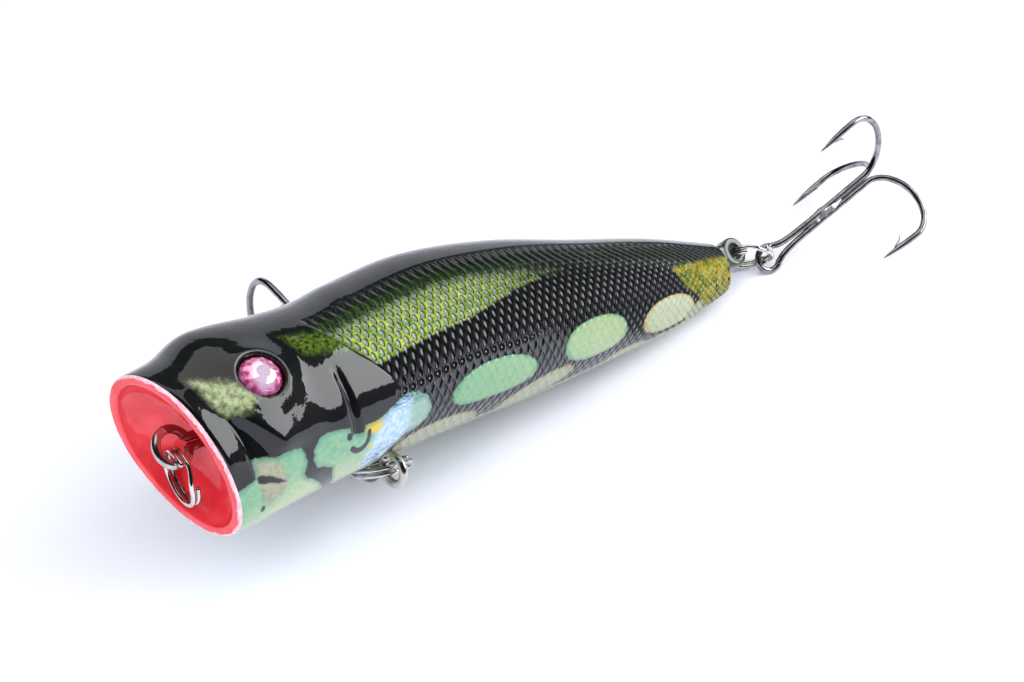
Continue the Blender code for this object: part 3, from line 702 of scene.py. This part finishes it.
def round_the_eye(p, paint):
    dabs = p.step(p.noise(p.place, 3.2, 3.0, 0.7), 0.32, 0.62)
    behind = p.times(p.soft(p.behind_eye, 0.5, 0.9, 0.8), dabs)
    paint = p.mix(behind, paint, p.mix(p.mottle, colour(34, 66, 14), colour(120, 150, 40)))
    before = p.times(p.soft(p.before_eye, 0.45, 0.6, 0.4), 0.85)
    return p.mix(before, paint, p.mottled(colour(112, 134, 78), colour(200, 208, 156)))


def head_mint(p, paint):
    """Mint with sky blue, yellow and brown washes, and the dark strokes over it."""
    mint = p.pastel(colour(104, 172, 140), colour(138, 188, 142))
    low = p.pastel(colour(168, 198, 144), colour(196, 208, 162))
    mint = p.mix(p.step(p.down, 15.3, 18.6), mint, low)
    brown = p.pastel(colour(150, 150, 128), colour(176, 172, 140))
    mint = p.mix(p.soft(p.brown, 0.5, 0.6), mint, brown)
    sky = p.mottled(colour(160, 202, 226), colour(216, 232, 238))
    rear = p.pastel(colour(134, 176, 164), colour(158, 190, 168))
    sky = p.mix(p.step(p.x, 17.2, 18.6), sky, rear)
    strokes = p.noise(p.stretch(p.place, (0.5, 1.0, 3.2)), 2.2, 3.0, 0.7)
    edges = p.math("MAXIMUM", p.step(p.down, 14.9, 13.7), p.times(p.step(p.down, 16.2, 17.4), 0.6))
    sky = p.mix(p.times(p.step(strokes, 0.46, 0.6), edges), sky, colour(40, 98, 156))
    mint = p.mix(p.step(p.blue, 0.1, 1.1), mint, sky)
    mint = p.mix(p.soft(p.yellow, 0.22, 0.4, 0.5), mint, colour(232, 200, 44))
    mint = p.mix(p.times(p.step(p.mint, 0.55, 0.0), 0.55), mint, colour(62, 128, 104))
    paint = p.mix(p.soft(p.mint), paint, mint)
    return p.mix(p.soft(p.marks, 0.08, 0.2, 0.2), paint, colour(24, 26, 32))


def flank_ovals(p, paint):
    """Three ovals, greener to the front and creamier to the tail, each with a stronger rim."""
    first = p.pastel(colour(112, 176, 136), colour(140, 184, 130))
    second = p.pastel(colour(160, 188, 132), colour(178, 194, 148))
    last = p.pastel(colour(182, 192, 156), colour(196, 202, 172))
    tone = p.mix(p.step(p.x, 24.0, 44.0), first, second)
    tone = p.mix(p.step(p.x, 45.0, 49.0), tone, last)
    rim_tone = p.mix(p.step(p.x, 46.0, 46.5), colour(88, 168, 120), colour(216, 170, 96))
    tone = p.mix(p.times(p.step(p.ovals, 0.34, 0.05), 0.5), tone, rim_tone)
    return p.mix(p.soft(p.ovals, 0.07, 0.12, 0.2), paint, tone)


def belly_cream(p, paint):
    tone = p.pastel(colour(160, 168, 132), colour(180, 186, 156))
    tone = p.mix(p.times(p.step(p.cream, 0.4, 0.0), 0.6), tone, colour(160, 146, 72))
    share = p.times(p.soft(p.cream, 0.12, 0.3, 0.4), p.step(p.x, 15.0, 17.0))
    return p.mix(share, paint, tone)


def speckled_tail(p, paint):
    flecks = p.noise(p.stretch(p.place, (1.0, 1.0, 1.4)), 1.5, 3.0, 0.75)
    tone = p.mix(p.step(flecks, 0.38, 0.62), colour(178, 148, 4), colour(56, 100, 12))
    tone = p.mix(p.step(p.noise(p.place, 1.2), 0.5, 0.75), tone, colour(168, 170, 84))
    tone = p.mix(p.step(p.cells(p.place, 1.0), 0.26, 0.16), tone, colour(24, 30, 12))
    return p.mix(p.soft(p.tail, 0.3, 0.9, 0.9), paint, tone)


def pores(p, paint):
    """Black rings along the lateral line, each with a pale middle that is a painted glint."""
    dark = p.times(p.step(p.pore, 0.29, 0.22), p.pore_zone, 0.95)
    paint = p.mix(dark, paint, colour(4, 4, 6))
    # The pale middle of each pore: painted glint.
    return p.mix(p.times(p.step(p.pore, 0.10, 0.05), p.pore_zone), paint, colour(150, 152, 160))


def sockets(p, paint):
    # Dark inside the socket round the gem: painted shade.
    paint = p.mix(p.step(p.eye_far, 2.0, 1.92, 0.0, 0.9), paint, colour(16, 20, 18))
    # A pale ring round the socket's rim: painted highlight.
    ring = p.times(p.step(p.eye_far, 1.92, 1.98), p.step(p.eye_far, 2.14, 2.06), 0.7)
    return p.mix(ring, paint, p.mix(p.mottle, colour(46, 60, 50), colour(120, 128, 116)))


def mouth(p, paint):
    """A pink rim with an uneven inner edge, round a red cup."""
    rim = p.step(p.add(p.kind, p.times(p.grainy, 0.12)), -0.88, -0.80)
    pink = p.mottled(colour(236, 176, 186), colour(246, 214, 216), 0.35, 0.65)
    paint = p.mix(rim, paint, pink)
    clouds = p.step(p.noise(p.place, 0.45, 2.0), 0.35, 0.65)
    red = p.mix(clouds, colour(232, 52, 58), colour(244, 74, 80))
    uneven = p.add(p.times(p.wavy, 0.5), p.times(p.grainy, 0.35))
    return p.mix(p.step(p.add(p.kind, uneven), -0.64, -0.55), paint, red)


def scale_bumps(p):
    """Each scale is domed, more along the body than round it, and each pore is a dome of its own."""
    lengthways, girthways = p.add(p.half_a, p.half_b), p.less(p.half_a, p.half_b)
    arch = p.times(p.square(girthways), p.step(p.x, 20.0, 55.0, 0.85, 0.55))
    dome = p.less(1.0, p.add(p.square(lengthways), arch))
    height = p.times(dome, p.in_scales, p.step(p.down, 4.8, 7.0, 0.25, 1.0))
    painted = p.math("MAXIMUM", p.step(p.ovals, -0.1, 0.3), p.step(p.mint, -0.1, 0.3))
    height = p.times(height, p.less(1.0, p.times(painted, 0.6)))
    return p.mix(p.near_pore, height, p.step(p.pore, 0.28, 0.0, 0.5, 1.5))


def clear_coat(p):
    """The share of clear coat, which is thin between the scales and round the pores."""
    depth = p.step(p.down, 13.4, 11.6, 0.25, 0.95)
    bare = p.times(p.step(p.off_centre, 0.035, 0.12), p.in_scales, depth)
    ring = p.times(p.step(p.pore, 0.08, 0.12), p.step(p.pore, 0.32, 0.26), p.pore_zone, 0.97)
    return p.less(1.0, p.mix(p.near_pore, bare, ring))


def body_paint():
    p = Skin()
    paint = black_back(p)
    for layer in (lime_band, round_the_eye, head_mint, flank_ovals, belly_cream, speckled_tail, pores):
        paint = layer(p, paint)
    paint = p.mix(0.2, paint, BLACK)
    paint = mouth(p, sockets(p, paint))
    scales = p.bump(scale_bumps(p), 0.23)
    waves = p.bump(p.noise(p.place, 0.8, 3.0, 0.5), 0.05, 0.5, scales)
    grains = p.bump(p.noise(p.place, 11.0, 2.0, 0.6), 0.006, 0.5, waves)
    p.set(Base_Color=paint, Roughness=0.45, Specular_IOR_Level=0.08, Normal=grains)
    p.set(Coat_Weight=clear_coat(p), Coat_Roughness=0.035, Coat_IOR=1.5, Coat_Normal=waves)
    return p.material


# Wires


def sweep(points, radius, sides=18, radii=None):
    """Points and faces of a round wire along a path; each end is a shallow cone."""
    points = np.asarray(points, float)
    count = len(points)
    radii = np.full(count, 1.0) if radii is None else np.asarray(radii, float)
    tangents = np.gradient(points, axis=0)
    tangents /= np.linalg.norm(tangents, axis=1)[:, None]
    side = np.cross(tangents[0], (0.31, 0.77, 0.55))
    side /= np.linalg.norm(side)
    rings = []
    for k in range(count):
        side = side - side.dot(tangents[k]) * tangents[k]
        side /= np.linalg.norm(side)
        other = np.cross(tangents[k], side)
        angles = math.tau * np.arange(sides) / sides
        ring = np.outer(np.cos(angles), side) + np.outer(np.sin(angles), other)
        rings.append(points[k] + ring * radius * radii[k])
    verts = np.concatenate(rings)
    faces = tube_faces(count, sides)[:-2]
    for k, outward in ((0, -1), (count - 1, 1)):
        tip = tangents[k] * outward * radius * radii[k] * 0.12
        verts = np.concatenate([verts, [points[k] + tip]])
        for i in range(sides):
            pair = (k * sides + i, k * sides + (i + 1) % sides)
            faces.append([*pair[::outward], len(verts) - 1])
    return verts, faces


def join(*shells):
    """Several (points, faces) as one."""
    all_verts, all_faces, start = [], [], 0
    for verts, faces in shells:
        all_verts.append(np.asarray(verts, float))
        all_faces += [[i + start for i in face] for face in faces]
        start += len(verts)
    return np.concatenate(all_verts), all_faces


def arc(centre, radius, start, end, count, stretch=1.0):
    """Points on an arc in the XZ plane, angles in degrees from +X towards +Z."""
    angles = np.radians(np.linspace(start, end, count + 1))
    return np.stack(
        [centre[0] + stretch * radius * np.cos(angles), 0 * angles, centre[1] + radius * np.sin(angles)], -1
    )


def smooth_path(points, per_step):
    """A Catmull-Rom curve through the points."""
    points = np.asarray(points, float)
    padded = np.concatenate([[2 * points[0] - points[1]], points, [2 * points[-1] - points[-2]]])
    path = []
    for k in range(len(points) - 1):
        p0, p1, p2, p3 = padded[k : k + 4]
        for t in np.arange(per_step) / per_step:
            curved = (2 * p0 - 5 * p1 + 4 * p2 - p3) * t**2 + (3 * p1 - p0 - 3 * p2 + p3) * t**3
            path.append(0.5 * (2 * p1 + (p2 - p0) * t + curved))
    return np.array(path + [points[-1]])


def seat(origin, x_axis, z_hint):
    """Origin and axes of a local frame whose X follows x_axis and whose Z is nearest z_hint."""
    x = np.array(x_axis, float) / np.linalg.norm(x_axis)
    z = np.array(z_hint, float)
    z = z - z.dot(x) * x
    z /= np.linalg.norm(z)
    return np.array(origin, float), np.array((x, np.cross(z, x), z))


def placed(points, place):
    """Points of a local frame, moved to where seat says that frame is."""
    return np.asarray(points) @ place[1] + place[0]


def hairpin(radius, wire, leg_end):
    """A wire's round loop at the origin, and its two legs side by side along X."""
    spread = (wire + HAIRPIN_GAP) / 2
    opening = math.degrees(math.asin(spread / radius))
    loop = arc((0, 0), radius, opening, 360 - opening, 56)
    bend = leg_end - (leg_end - radius) * 0.7
    upper = [(leg_end, 0, spread), (bend + 1.0, 0, spread), (bend, 0, spread)]
    points = np.concatenate([upper, loop, [(x, y, -z) for x, y, z in upper[::-1]]])
    return smooth_path(points, 2)


def make_fittings(steel):
    """The line tie, with red overspray where it leaves the cup, and the belly hanger."""
    path = hairpin(TIE_RADIUS, TIE_WIRE, TIE_END - TIE_LOOP[0]) + TIE_LOOP
    verts, faces = sweep(path, TIE_WIRE / 2, 20)
    red = smoothstep(verts[:, 0] + 0.55 * (verts[:, 2] - TIE_LOOP[2]), 0.35, 1.15)
    overspray = {"overspray": np.stack([red, red, red], -1)}
    add_piece("line_tie_wire", verts, faces, steel, "lure", ["line_tie"], overspray)
    place = seat(HANGER_LOOP, (0, 0, 1), (0, 1, 0))
    path = placed(hairpin(HANGER_RADIUS, HANGER_WIRE, HANGER_END - HANGER_LOOP[2]), place)
    verts, faces = sweep(path, HANGER_WIRE / 2, 20)
    clean = {"overspray": np.zeros_like(verts)}
    add_piece("belly_hanger_wire", verts, faces, steel, "lure", ["belly_hanger"], clean)


def make_split_ring(where, sizes, centre, pivot, normal, material):
    """Two turns of wire side by side, which cross over between their two cut ends."""
    outer, wire = sizes
    away = np.array(centre, float) - np.array(pivot, float)
    place = seat(centre, away, np.cross(away, normal))
    radius = (outer - wire) / 2
    pitch = wire + RING_COIL_GAP
    turns = np.linspace(RING_CUT, 2 - RING_CUT, 161)
    y = pitch * (smoothstep(turns, 1 - RING_CUT, 1 + RING_CUT) - 0.5)
    angles = math.tau * (turns + RING_CUT_TURN)
    path = np.stack([radius * np.cos(angles), y, radius * np.sin(angles)], -1)
    radii = np.ones(len(path))
    radii[0] = radii[-1] = 0.86
    verts, faces = sweep(placed(path, place), wire / 2, 16, radii)
    names = (where + "_ring_coil", where + "_ring", where + "_split_ring")
    add_piece(names[0], verts, faces, material, names[1], [names[2]])


def hook_side(scale):
    """Half of a hook in the XZ plane, from the needle point to the shank."""
    radius = BEND_RADIUS * scale
    height = BUNDLE_RADIUS + 2 * radius
    points = [((POINT_X + x) * scale, 0, height - drop * POINT_DROP * scale) for x, drop, _ in HOOK_POINT]
    radii = [radius for _, _, radius in HOOK_POINT]
    bend = arc((SHANK_LENGTH * scale, BUNDLE_RADIUS + radius), radius, 90, -90, 40, BEND_STRETCH)
    return np.concatenate([points, bend]), radii + [1.0] * len(bend)


def barb(scale):
    """The sliver cut up from the inside of the wire behind the point."""
    x = (POINT_X + 2.2) * scale
    z = BUNDLE_RADIUS + 2 * BEND_RADIUS * scale - 0.42 * POINT_DROP * scale - HOOK_WIRE * 0.34
    path = [(x - 0.55, 0, z), (x + 0.05, 0, z - 0.18), (x + 0.5, 0, z - 0.42), (x + 0.78, 0, z - 0.68)]
    return smooth_path(path, 3), [0.55, 0.6, 0.6, 0.55, 0.5, 0.45, 0.4, 0.33, 0.25, 0.12]


def turned(points, degrees):
    """Points turned about the hook's shank."""
    c, s = math.cos(math.radians(degrees)), math.sin(math.radians(degrees))
    return np.asarray(points, float) @ np.array(((1, 0, 0), (0, c, s), (0, -s, c)))


def make_treble(body, treble, wire_material, braze_material):
    """Two hooks and the eye bent from one wire, a third hook laid on them, and the solder."""
    scale, end, shank, single = treble
    place = seat(end, shank, single)
    side, radii = hook_side(scale)
    barb_path, barb_radii = barb(scale)

    def add_wire(word, shells):
        verts, faces = join(*shells)
        nodes = [f"{body}_{word}_hook"]
        add_piece(f"{body}_{word}_wire", placed(verts, place), faces, wire_material, body, nodes)

    meet = [(SHANKS_MEET_X * scale, 0, BUNDLE_RADIUS)]
    first = turned(np.concatenate([side, meet]), 120)
    second = turned(np.concatenate([side, meet]), -120)
    eye_radius = EYE_LOOP_RADIUS * scale
    angles = np.radians(np.linspace(EYE_OPENING, 360 - EYE_OPENING, 45))
    eye_x = eye_radius + HOOK_WIRE / 2 + eye_radius * np.cos(angles)
    eye_z = 0.5 * first[-1][2] * np.maximum(0, np.cos(angles))
    eye = np.stack([eye_x, -eye_radius * np.sin(angles), eye_z], -1)
    middle = smooth_path(np.concatenate([first[-2:], eye, second[-1:-3:-1]]), 5)
    path = np.concatenate([first[:-2], middle, second[-3::-1]])
    all_radii = radii[:-1] + [1.0] * len(middle) + radii[:-1][::-1]
    shells = [sweep(path, HOOK_WIRE / 2, 18, all_radii)]
    for turn in (120, -120):
        shells.append(sweep(turned(barb_path, turn), BARB_WIRE, 10, barb_radii))
    add_wire("double", shells)
    tip = [(x * scale, 0, BUNDLE_RADIUS) for x in (SINGLE_WIRE_START + 1.2, SINGLE_WIRE_START)]
    shank_wire = sweep(np.concatenate([side, tip]), HOOK_WIRE / 2, 18, radii + [1.0, 0.8])
    add_wire("single", [shank_wire, sweep(barb_path, BARB_WIRE, 10, barb_radii)])

    # Solder drawn into the valleys between the three shanks, thinning out at both ends
    rings, sides = 40, 48
    angles = math.tau * np.arange(sides) / sides
    valley = 0.5 - 0.5 * np.cos(3 * angles)
    verts = []
    for k, x in enumerate(np.linspace(BRAZE_START - 0.5, BRAZE_END + 0.5, rings) * scale):
        swell = math.sin(math.pi * (k + 0.35) / (rings - 0.3)) ** 0.35
        wander = 1 + 0.05 * np.sin(2.1 * x + 2 * angles) + 0.03 * np.sin(5.3 * x)
        radius = (BUNDLE_RADIUS + HOOK_WIRE / 2 - 0.03) * (1 - valley) + BRAZE_RADIUS * 0.82 * valley
        radius = radius * swell * wander * np.where(valley < 0.3, 0.9, 1.0)
        verts.append(np.stack([np.full(sides, x), radius * np.sin(angles), radius * np.cos(angles)], -1))
    verts = placed(np.concatenate(verts), place)
    faces = tube_faces(rings, sides)
    add_piece(body + "_solder", verts, faces, braze_material, body, [body + "_braze"])


def wire_metal(name, tone, dark, roughness, scratch):
    """Plated wire: clouded plating with fine dark specks."""
    p = Paint(name)
    place = p.attribute("place")
    cloud = p.noise(place, 0.9, 4.0, 0.6)
    fine = p.noise(place, 16.0, 2.0, 0.6)
    base = p.mix(p.step(cloud, 0.35, 0.75), tone, dark)
    base = p.mix(p.times(p.step(fine, 0.6, 0.8), scratch), base, colour(24, 22, 22))
    rough = p.add(roughness, p.sway(cloud, 0.18))
    normal = p.bump(p.noise(place, 5.0, 3.0, 0.6), 0.006, 0.6)
    p.set(Base_Color=base, Metallic=1.0, Roughness=rough, Normal=normal)
    return p


def tie_metal():
    """Stainless wire that the cup's red paint has reached in places."""
    p = wire_metal("stainless_with_red_overspray", colour(206, 204, 200), colour(160, 158, 156), 0.2, 0.2)
    stain = p.split(p.attribute("overspray"))[0]
    place = p.attribute("place")
    patchy = p.step(p.add(stain, p.sway(p.noise(place, 2.0, 3.0, 0.6), 0.9)), 0.44, 0.64)
    metal = p.shader.inputs["Base Color"].links[0].from_socket
    p.set(Base_Color=p.mix(patchy, metal, colour(112, 6, 10)), Metallic=p.less(1.0, patchy))
    p.set(Coat_Weight=p.times(patchy, 0.8), Coat_Roughness=0.08)
    return p.material


# Eyes


def foil_disc(low, top):
    """A thin disc with rounded edges, as points (outward, and two across)."""
    sides = 72
    angles = math.tau * np.arange(sides) / sides
    profile = (
        (low, 0.3), (low, FOIL_RADIUS - 0.04), (low + 0.04, FOIL_RADIUS), (top - 0.05, FOIL_RADIUS),
        (top, FOIL_RADIUS - 0.07), (top, 1.6), (top, 1.0), (top, 0.3),
    )
    rings = [np.stack([np.full(sides, h), r * np.cos(angles), r * np.sin(angles)], -1) for h, r in profile]
    return np.concatenate(rings), tube_faces(len(profile), sides)


def cut_gem(low):
    """A gem with a 24-sided girdle, three rows of facets and a 12-sided table."""
    stations = (
        (low, GEM_RADIUS - 0.05, 24, 0.0),
        (low + 0.06, GEM_RADIUS, 24, 0.0),
        (low + GEM_GIRDLE, GEM_RADIUS, 24, 0.0),
        (low + 0.62, 1.42, 12, 0.0),
        (low + 0.90, 1.0, 12, 0.5),
        (low + GEM_HEIGHT, GEM_TABLE, 12, 0.0),
    )
    verts, starts = [], []
    for height, radius, number, shift in stations:
        starts.append(len(verts))
        for i in range(number):
            angle = math.tau * (i + shift) / number
            verts.append((height, radius * math.cos(angle), radius * math.sin(angle)))
    back, edge, girdle, star, main, table = starts
    faces = [[back + i for i in range(24)][::-1]]
    for lower, upper in ((back, edge), (edge, girdle)):
        for i in range(24):
            j = (i + 1) % 24
            faces.append([lower + i, lower + j, upper + j, upper + i])
    for i in range(12):
        j = (i + 1) % 12
        left, middle, right = girdle + 2 * i, girdle + 2 * i + 1, girdle + (2 * i + 2) % 24
        faces += [
            [left, middle, star + i],
            [middle, right, star + j],
            [middle, star + j, star + i],
            [star + i, star + j, main + i],
            [star + j, main + j, main + i],
            [main + i, table + j, table + i],
            [main + i, main + j, table + j],
        ]
    faces.append([table + i for i in range(12)])
    return np.array(verts), faces


def make_eyes(foil_material, gem_material):
    for side, word in ((-1, "left"), (1, "right")):
        centre, axes = eye_seat(side)
        foil_back = -SOCKET_DEPTH + EYE_GAP
        foil_front = foil_back + FOIL_THICKNESS
        verts, faces = foil_disc(foil_back, foil_front)
        add_piece(
            "eye_foil_disc_" + word, verts @ axes + centre, faces, foil_material,
            "lure", ["eye_foil_" + word], {"in_eye": verts},
        )
        verts, faces = cut_gem(foil_front + EYE_GAP)
        if side > 0:
            faces = [face[::-1] for face in faces]
        add_piece(
            "eye_gem_cut_" + word, verts @ axes + centre, faces, gem_material,
            "lure", ["eye_gem_" + word], {"in_eye": verts}, flat=True,
        )


def eye_foil():
    """Pink foil, crinkled, with a pale middle that is a painted highlight."""
    p = Paint("pink_eye_foil")
    place = p.attribute("in_eye")
    crinkle = p.cells(place, 1.3)
    u, v = p.split(place)[1:]
    # The pale middle, off to one side and fading to magenta: painted highlight.
    from_highlight = p.length(p.add(u, 0.1), p.add(v, 0.15))
    from_highlight = p.add(from_highlight, p.sway(p.noise(place, 2.4, 3.0), 0.9))
    tone = p.mix(p.step(from_highlight, 0.55, 1.15), colour(255, 236, 246), colour(226, 62, 136))
    tone = p.mix(p.step(crinkle, 0.2, 0.5, 0.0, 0.4), tone, colour(255, 220, 238))
    p.set(Base_Color=tone, Metallic=0.5, Roughness=0.2, Normal=p.bump(crinkle, 0.12, 0.6))
    return p.material


def eye_gem():
    """Pink resin, each facet in a tone of its own as painted facet reflections, and a pale middle that is a
    painted highlight.
    """
    p = Paint("cut_pink_gem")
    place = p.attribute("in_eye")
    u, v = p.split(place)[1:]
    # Each facet a random tone of pink: painted facet reflections.
    radius = p.math("SQRT", p.add(p.square(u), p.square(v)))
    around = p.math("FLOOR", p.times(p.math("ARCTAN2", v, u), 24 / math.tau))
    facet = p.add(around, p.times(p.math("FLOOR", p.times(radius, 3.2)), 31.0))
    shade = p.node("TexWhiteNoise", None, facet, noise_dimensions="1D")["Value"]
    tone = p.mix(shade, colour(216, 40, 118), colour(255, 168, 214))
    # The pale middle, off to one side: painted highlight.
    from_highlight = p.length(p.add(u, 0.15), p.times(p.add(v, 0.2), 0.8))
    from_highlight = p.add(from_highlight, p.sway(p.noise(place, 2.0, 3.0), 0.5))
    tone = p.mix(p.step(from_highlight, 1.15, 0.55), tone, colour(255, 226, 242))
    p.set(Base_Color=tone, Roughness=0.03, Metallic=0.4, IOR=1.5, Transmission_Weight=0.15)
    p.set(Coat_Weight=1.0, Coat_Roughness=0.02)
    return p.material


# Tail lug


def rounded_wall(radius, curve, start):
    """Half a ring's profile, (radius, height), round one edge of the plate and over to the other."""
    for k in range(9):
        turn = math.radians(start + 180 * k / 8)
        flat = (LUG_THICKNESS / 2 - curve) * (1 if 0 < turn < math.pi else -1)
        yield radius + curve * math.cos(turn), flat + curve * math.sin(turn)


def make_lug(material):
    """A rounded eye plate, grown out of the tail on a short flat neck."""
    sides = 64
    angles = math.tau * np.arange(sides) / sides
    c, s = np.cos(angles), np.sin(angles)
    profile = [*rounded_wall(LUG_RADIUS - 0.22, 0.22, -90), *rounded_wall(LUG_HOLE_RADIUS + 0.14, 0.14, 90)]
    rings = [np.stack([LUG_X + r * c, np.full(sides, y), LUG_Z + r * s], -1) for r, y in profile]
    index = np.arange(len(profile) * sides).reshape(-1, sides)
    right = np.roll(index, -1, 1)
    faces = np.stack([index, right, np.roll(right, -1, 0), np.roll(index, -1, 0)], -1).reshape(-1, 4).tolist()
    plate = (np.concatenate(rings), faces)
    rings = []
    for x, tall, wide in LUG_NECK:
        y = wide * np.sign(c) * np.abs(c) ** 0.45
        rings.append(np.stack([np.full(sides, x), y, LUG_Z + tall * np.sign(s) * np.abs(s) ** 0.45], -1))
    verts, faces = join(plate, (np.concatenate(rings), tube_faces(len(LUG_NECK), sides)))
    nodes = ("body_half_left", "body_half_right")
    add_piece("tail_lug_moulding", verts, faces, material, "lure", nodes)


def lug_paint():
    p = Paint("tail_lug_paint")
    place = p.attribute("place")
    z = p.split(place)[2]
    tone = p.mix(p.step(p.noise(place, 2.5, 3.0, 0.7), 0.4, 0.65), colour(28, 42, 20), colour(66, 80, 40))
    upper = p.step(p.add(z, p.sway(p.noise(place, 1.8, 2.0), 0.7)), 0.1, 0.6)
    tone = p.mix(upper, tone, colour(18, 26, 16))
    p.set(Base_Color=tone, Roughness=0.34, Coat_Weight=1.0, Coat_Roughness=0.05)
    p.set(Normal=p.bump(p.noise(place, 3.0, 3.0), 0.02, 0.6))
    return p.material


# Solder and balls


def solder():
    p = Paint("plated_solder")
    place = p.attribute("place")
    cloud = p.step(p.noise(place, 3.0, 3.0, 0.7), 0.35, 0.7)
    tone = p.mix(cloud, colour(214, 210, 206), colour(150, 146, 146))
    lumps = p.bump(p.noise(place, 4.0, 3.0, 0.6), 0.03, 0.8)
    p.set(Base_Color=tone, Metallic=1.0, Roughness=0.34, Normal=lumps)
    return p.material


def ball_steel():
    p = Paint("polished_ball_steel")
    place = p.object_place()
    tone = p.mix(p.step(p.noise(place, 1.2, 3.0), 0.4, 0.7), colour(196, 196, 198), colour(150, 150, 154))
    pits = p.times(p.step(p.cells(place, 2.4), 0.1, 0.05), 0.5)
    polish = p.bump(p.noise(place, 6.0, 2.0), 0.004, 0.5)
    p.set(Base_Color=p.mix(pits, tone, colour(60, 60, 62)), Metallic=1.0, Roughness=0.16, Normal=polish)
    return p.material


# The table, the lamps and the camera


def add_lamp(name, azimuth, elevation, distance, size, power, tint):
    """A square or oblong softbox, aimed at the lure from the given side and height."""
    light = bpy.data.lights.new(name, "AREA")
    light.shape = "RECTANGLE"
    light.size, light.size_y = size
    light.energy = power
    light.color = tint
    lamp = bpy.data.objects.new(name, light)
    bpy.context.scene.collection.objects.link(lamp)
    a, e = math.radians(azimuth), math.radians(elevation)
    toward = Vector((math.cos(e) * math.cos(a), math.cos(e) * math.sin(a), math.sin(e)))
    lamp.location = Vector(LAMP_TARGET) + toward * distance
    lamp.rotation_euler = toward.to_track_quat("Z", "Y").to_euler()
    return lamp


def make_table():
    p = Paint("white_table")
    cloud = p.noise(p.object_place(), 0.012, 2.0)
    p.set(Base_Color=p.mix(cloud, (0.93, 0.93, 0.96, 1), (0.96, 0.96, 0.98, 1)))
    p.set(Roughness=0.6, Specular_IOR_Level=0.2)
    mesh = bpy.data.meshes.new("table_top")
    corners = [(x * TABLE_HALF, y * TABLE_HALF, 0) for x, y in ((-1, -1), (1, -1), (1, 1), (-1, 1))]
    mesh.from_pydata(corners, [], [(0, 1, 2, 3)])
    mesh.materials.append(p.material)
    table = bpy.data.objects.new("table_top", mesh)
    bpy.context.scene.collection.objects.link(table)


def light_stage():
    world = bpy.data.worlds.new("studio")
    bpy.context.scene.world = world
    world.use_nodes = True
    background = world.node_tree.nodes["Background"]
    background.inputs["Color"].default_value = (*COOL_FILL, 1)
    background.inputs["Strength"].default_value = 0.02
    for softbox in SOFTBOXES:
        add_lamp(*softbox)
    for name, azimuth, elevation, power in FILL_LAMPS:
        fill = add_lamp(name, azimuth, elevation, 0.60, (0.50, 0.50), power, COOL_FILL)
        fill.visible_glossy = False


def place_camera():
    camera = bpy.data.objects.new("camera", bpy.data.cameras.new("camera"))
    bpy.context.scene.collection.objects.link(camera)
    camera.data.lens = CAMERA_LENS
    camera.data.clip_start = 0.01
    camera.location = CAMERA_AT
    camera.rotation_euler = Vector(CAMERA_LOOK).to_track_quat("-Z", "Y").to_euler()
    bpy.context.scene.camera = camera
    bpy.context.scene.view_settings.view_transform = "Standard"


make_table()
light_stage()
place_camera()
make_body(body_paint())
make_lug(lug_paint())
make_eyes(eye_foil(), eye_gem())
make_fittings(tie_metal())
chrome = wire_metal("bright_ring_plate", colour(222, 220, 216), colour(178, 176, 174), 0.10, 0.15).material
hook = wire_metal("dark_nickel_plate", colour(168, 165, 167), colour(112, 108, 112), 0.17, 0.4).material
hang = np.array(FRONT_RING_DIRECTION) / np.linalg.norm(FRONT_RING_DIRECTION)
front_centre = np.array(TIE_LOOP) + hang * ((FRONT_RING[0] - FRONT_RING[1]) / 2 + FRONT_RING_REACH)
make_split_ring("front", FRONT_RING, front_centre, TIE_LOOP, FRONT_RING_NORMAL, chrome)
make_split_ring("belly", BELLY_RING, BELLY_RING_CENTRE, HANGER_LOOP, BELLY_RING_NORMAL, chrome)
make_split_ring("tail", TAIL_RING, TAIL_RING_CENTRE, (LUG_X, 0, LUG_Z), TAIL_RING_NORMAL, chrome)
braze = solder()
make_treble("belly_treble", BELLY_TREBLE, hook, braze)
make_treble("tail_treble", TAIL_TREBLE, hook, braze)
steel = ball_steel()
for ball in BALLS:
    shape = frame["nodes"][ball].data
    shape.materials.clear()
    shape.materials.append(steel)
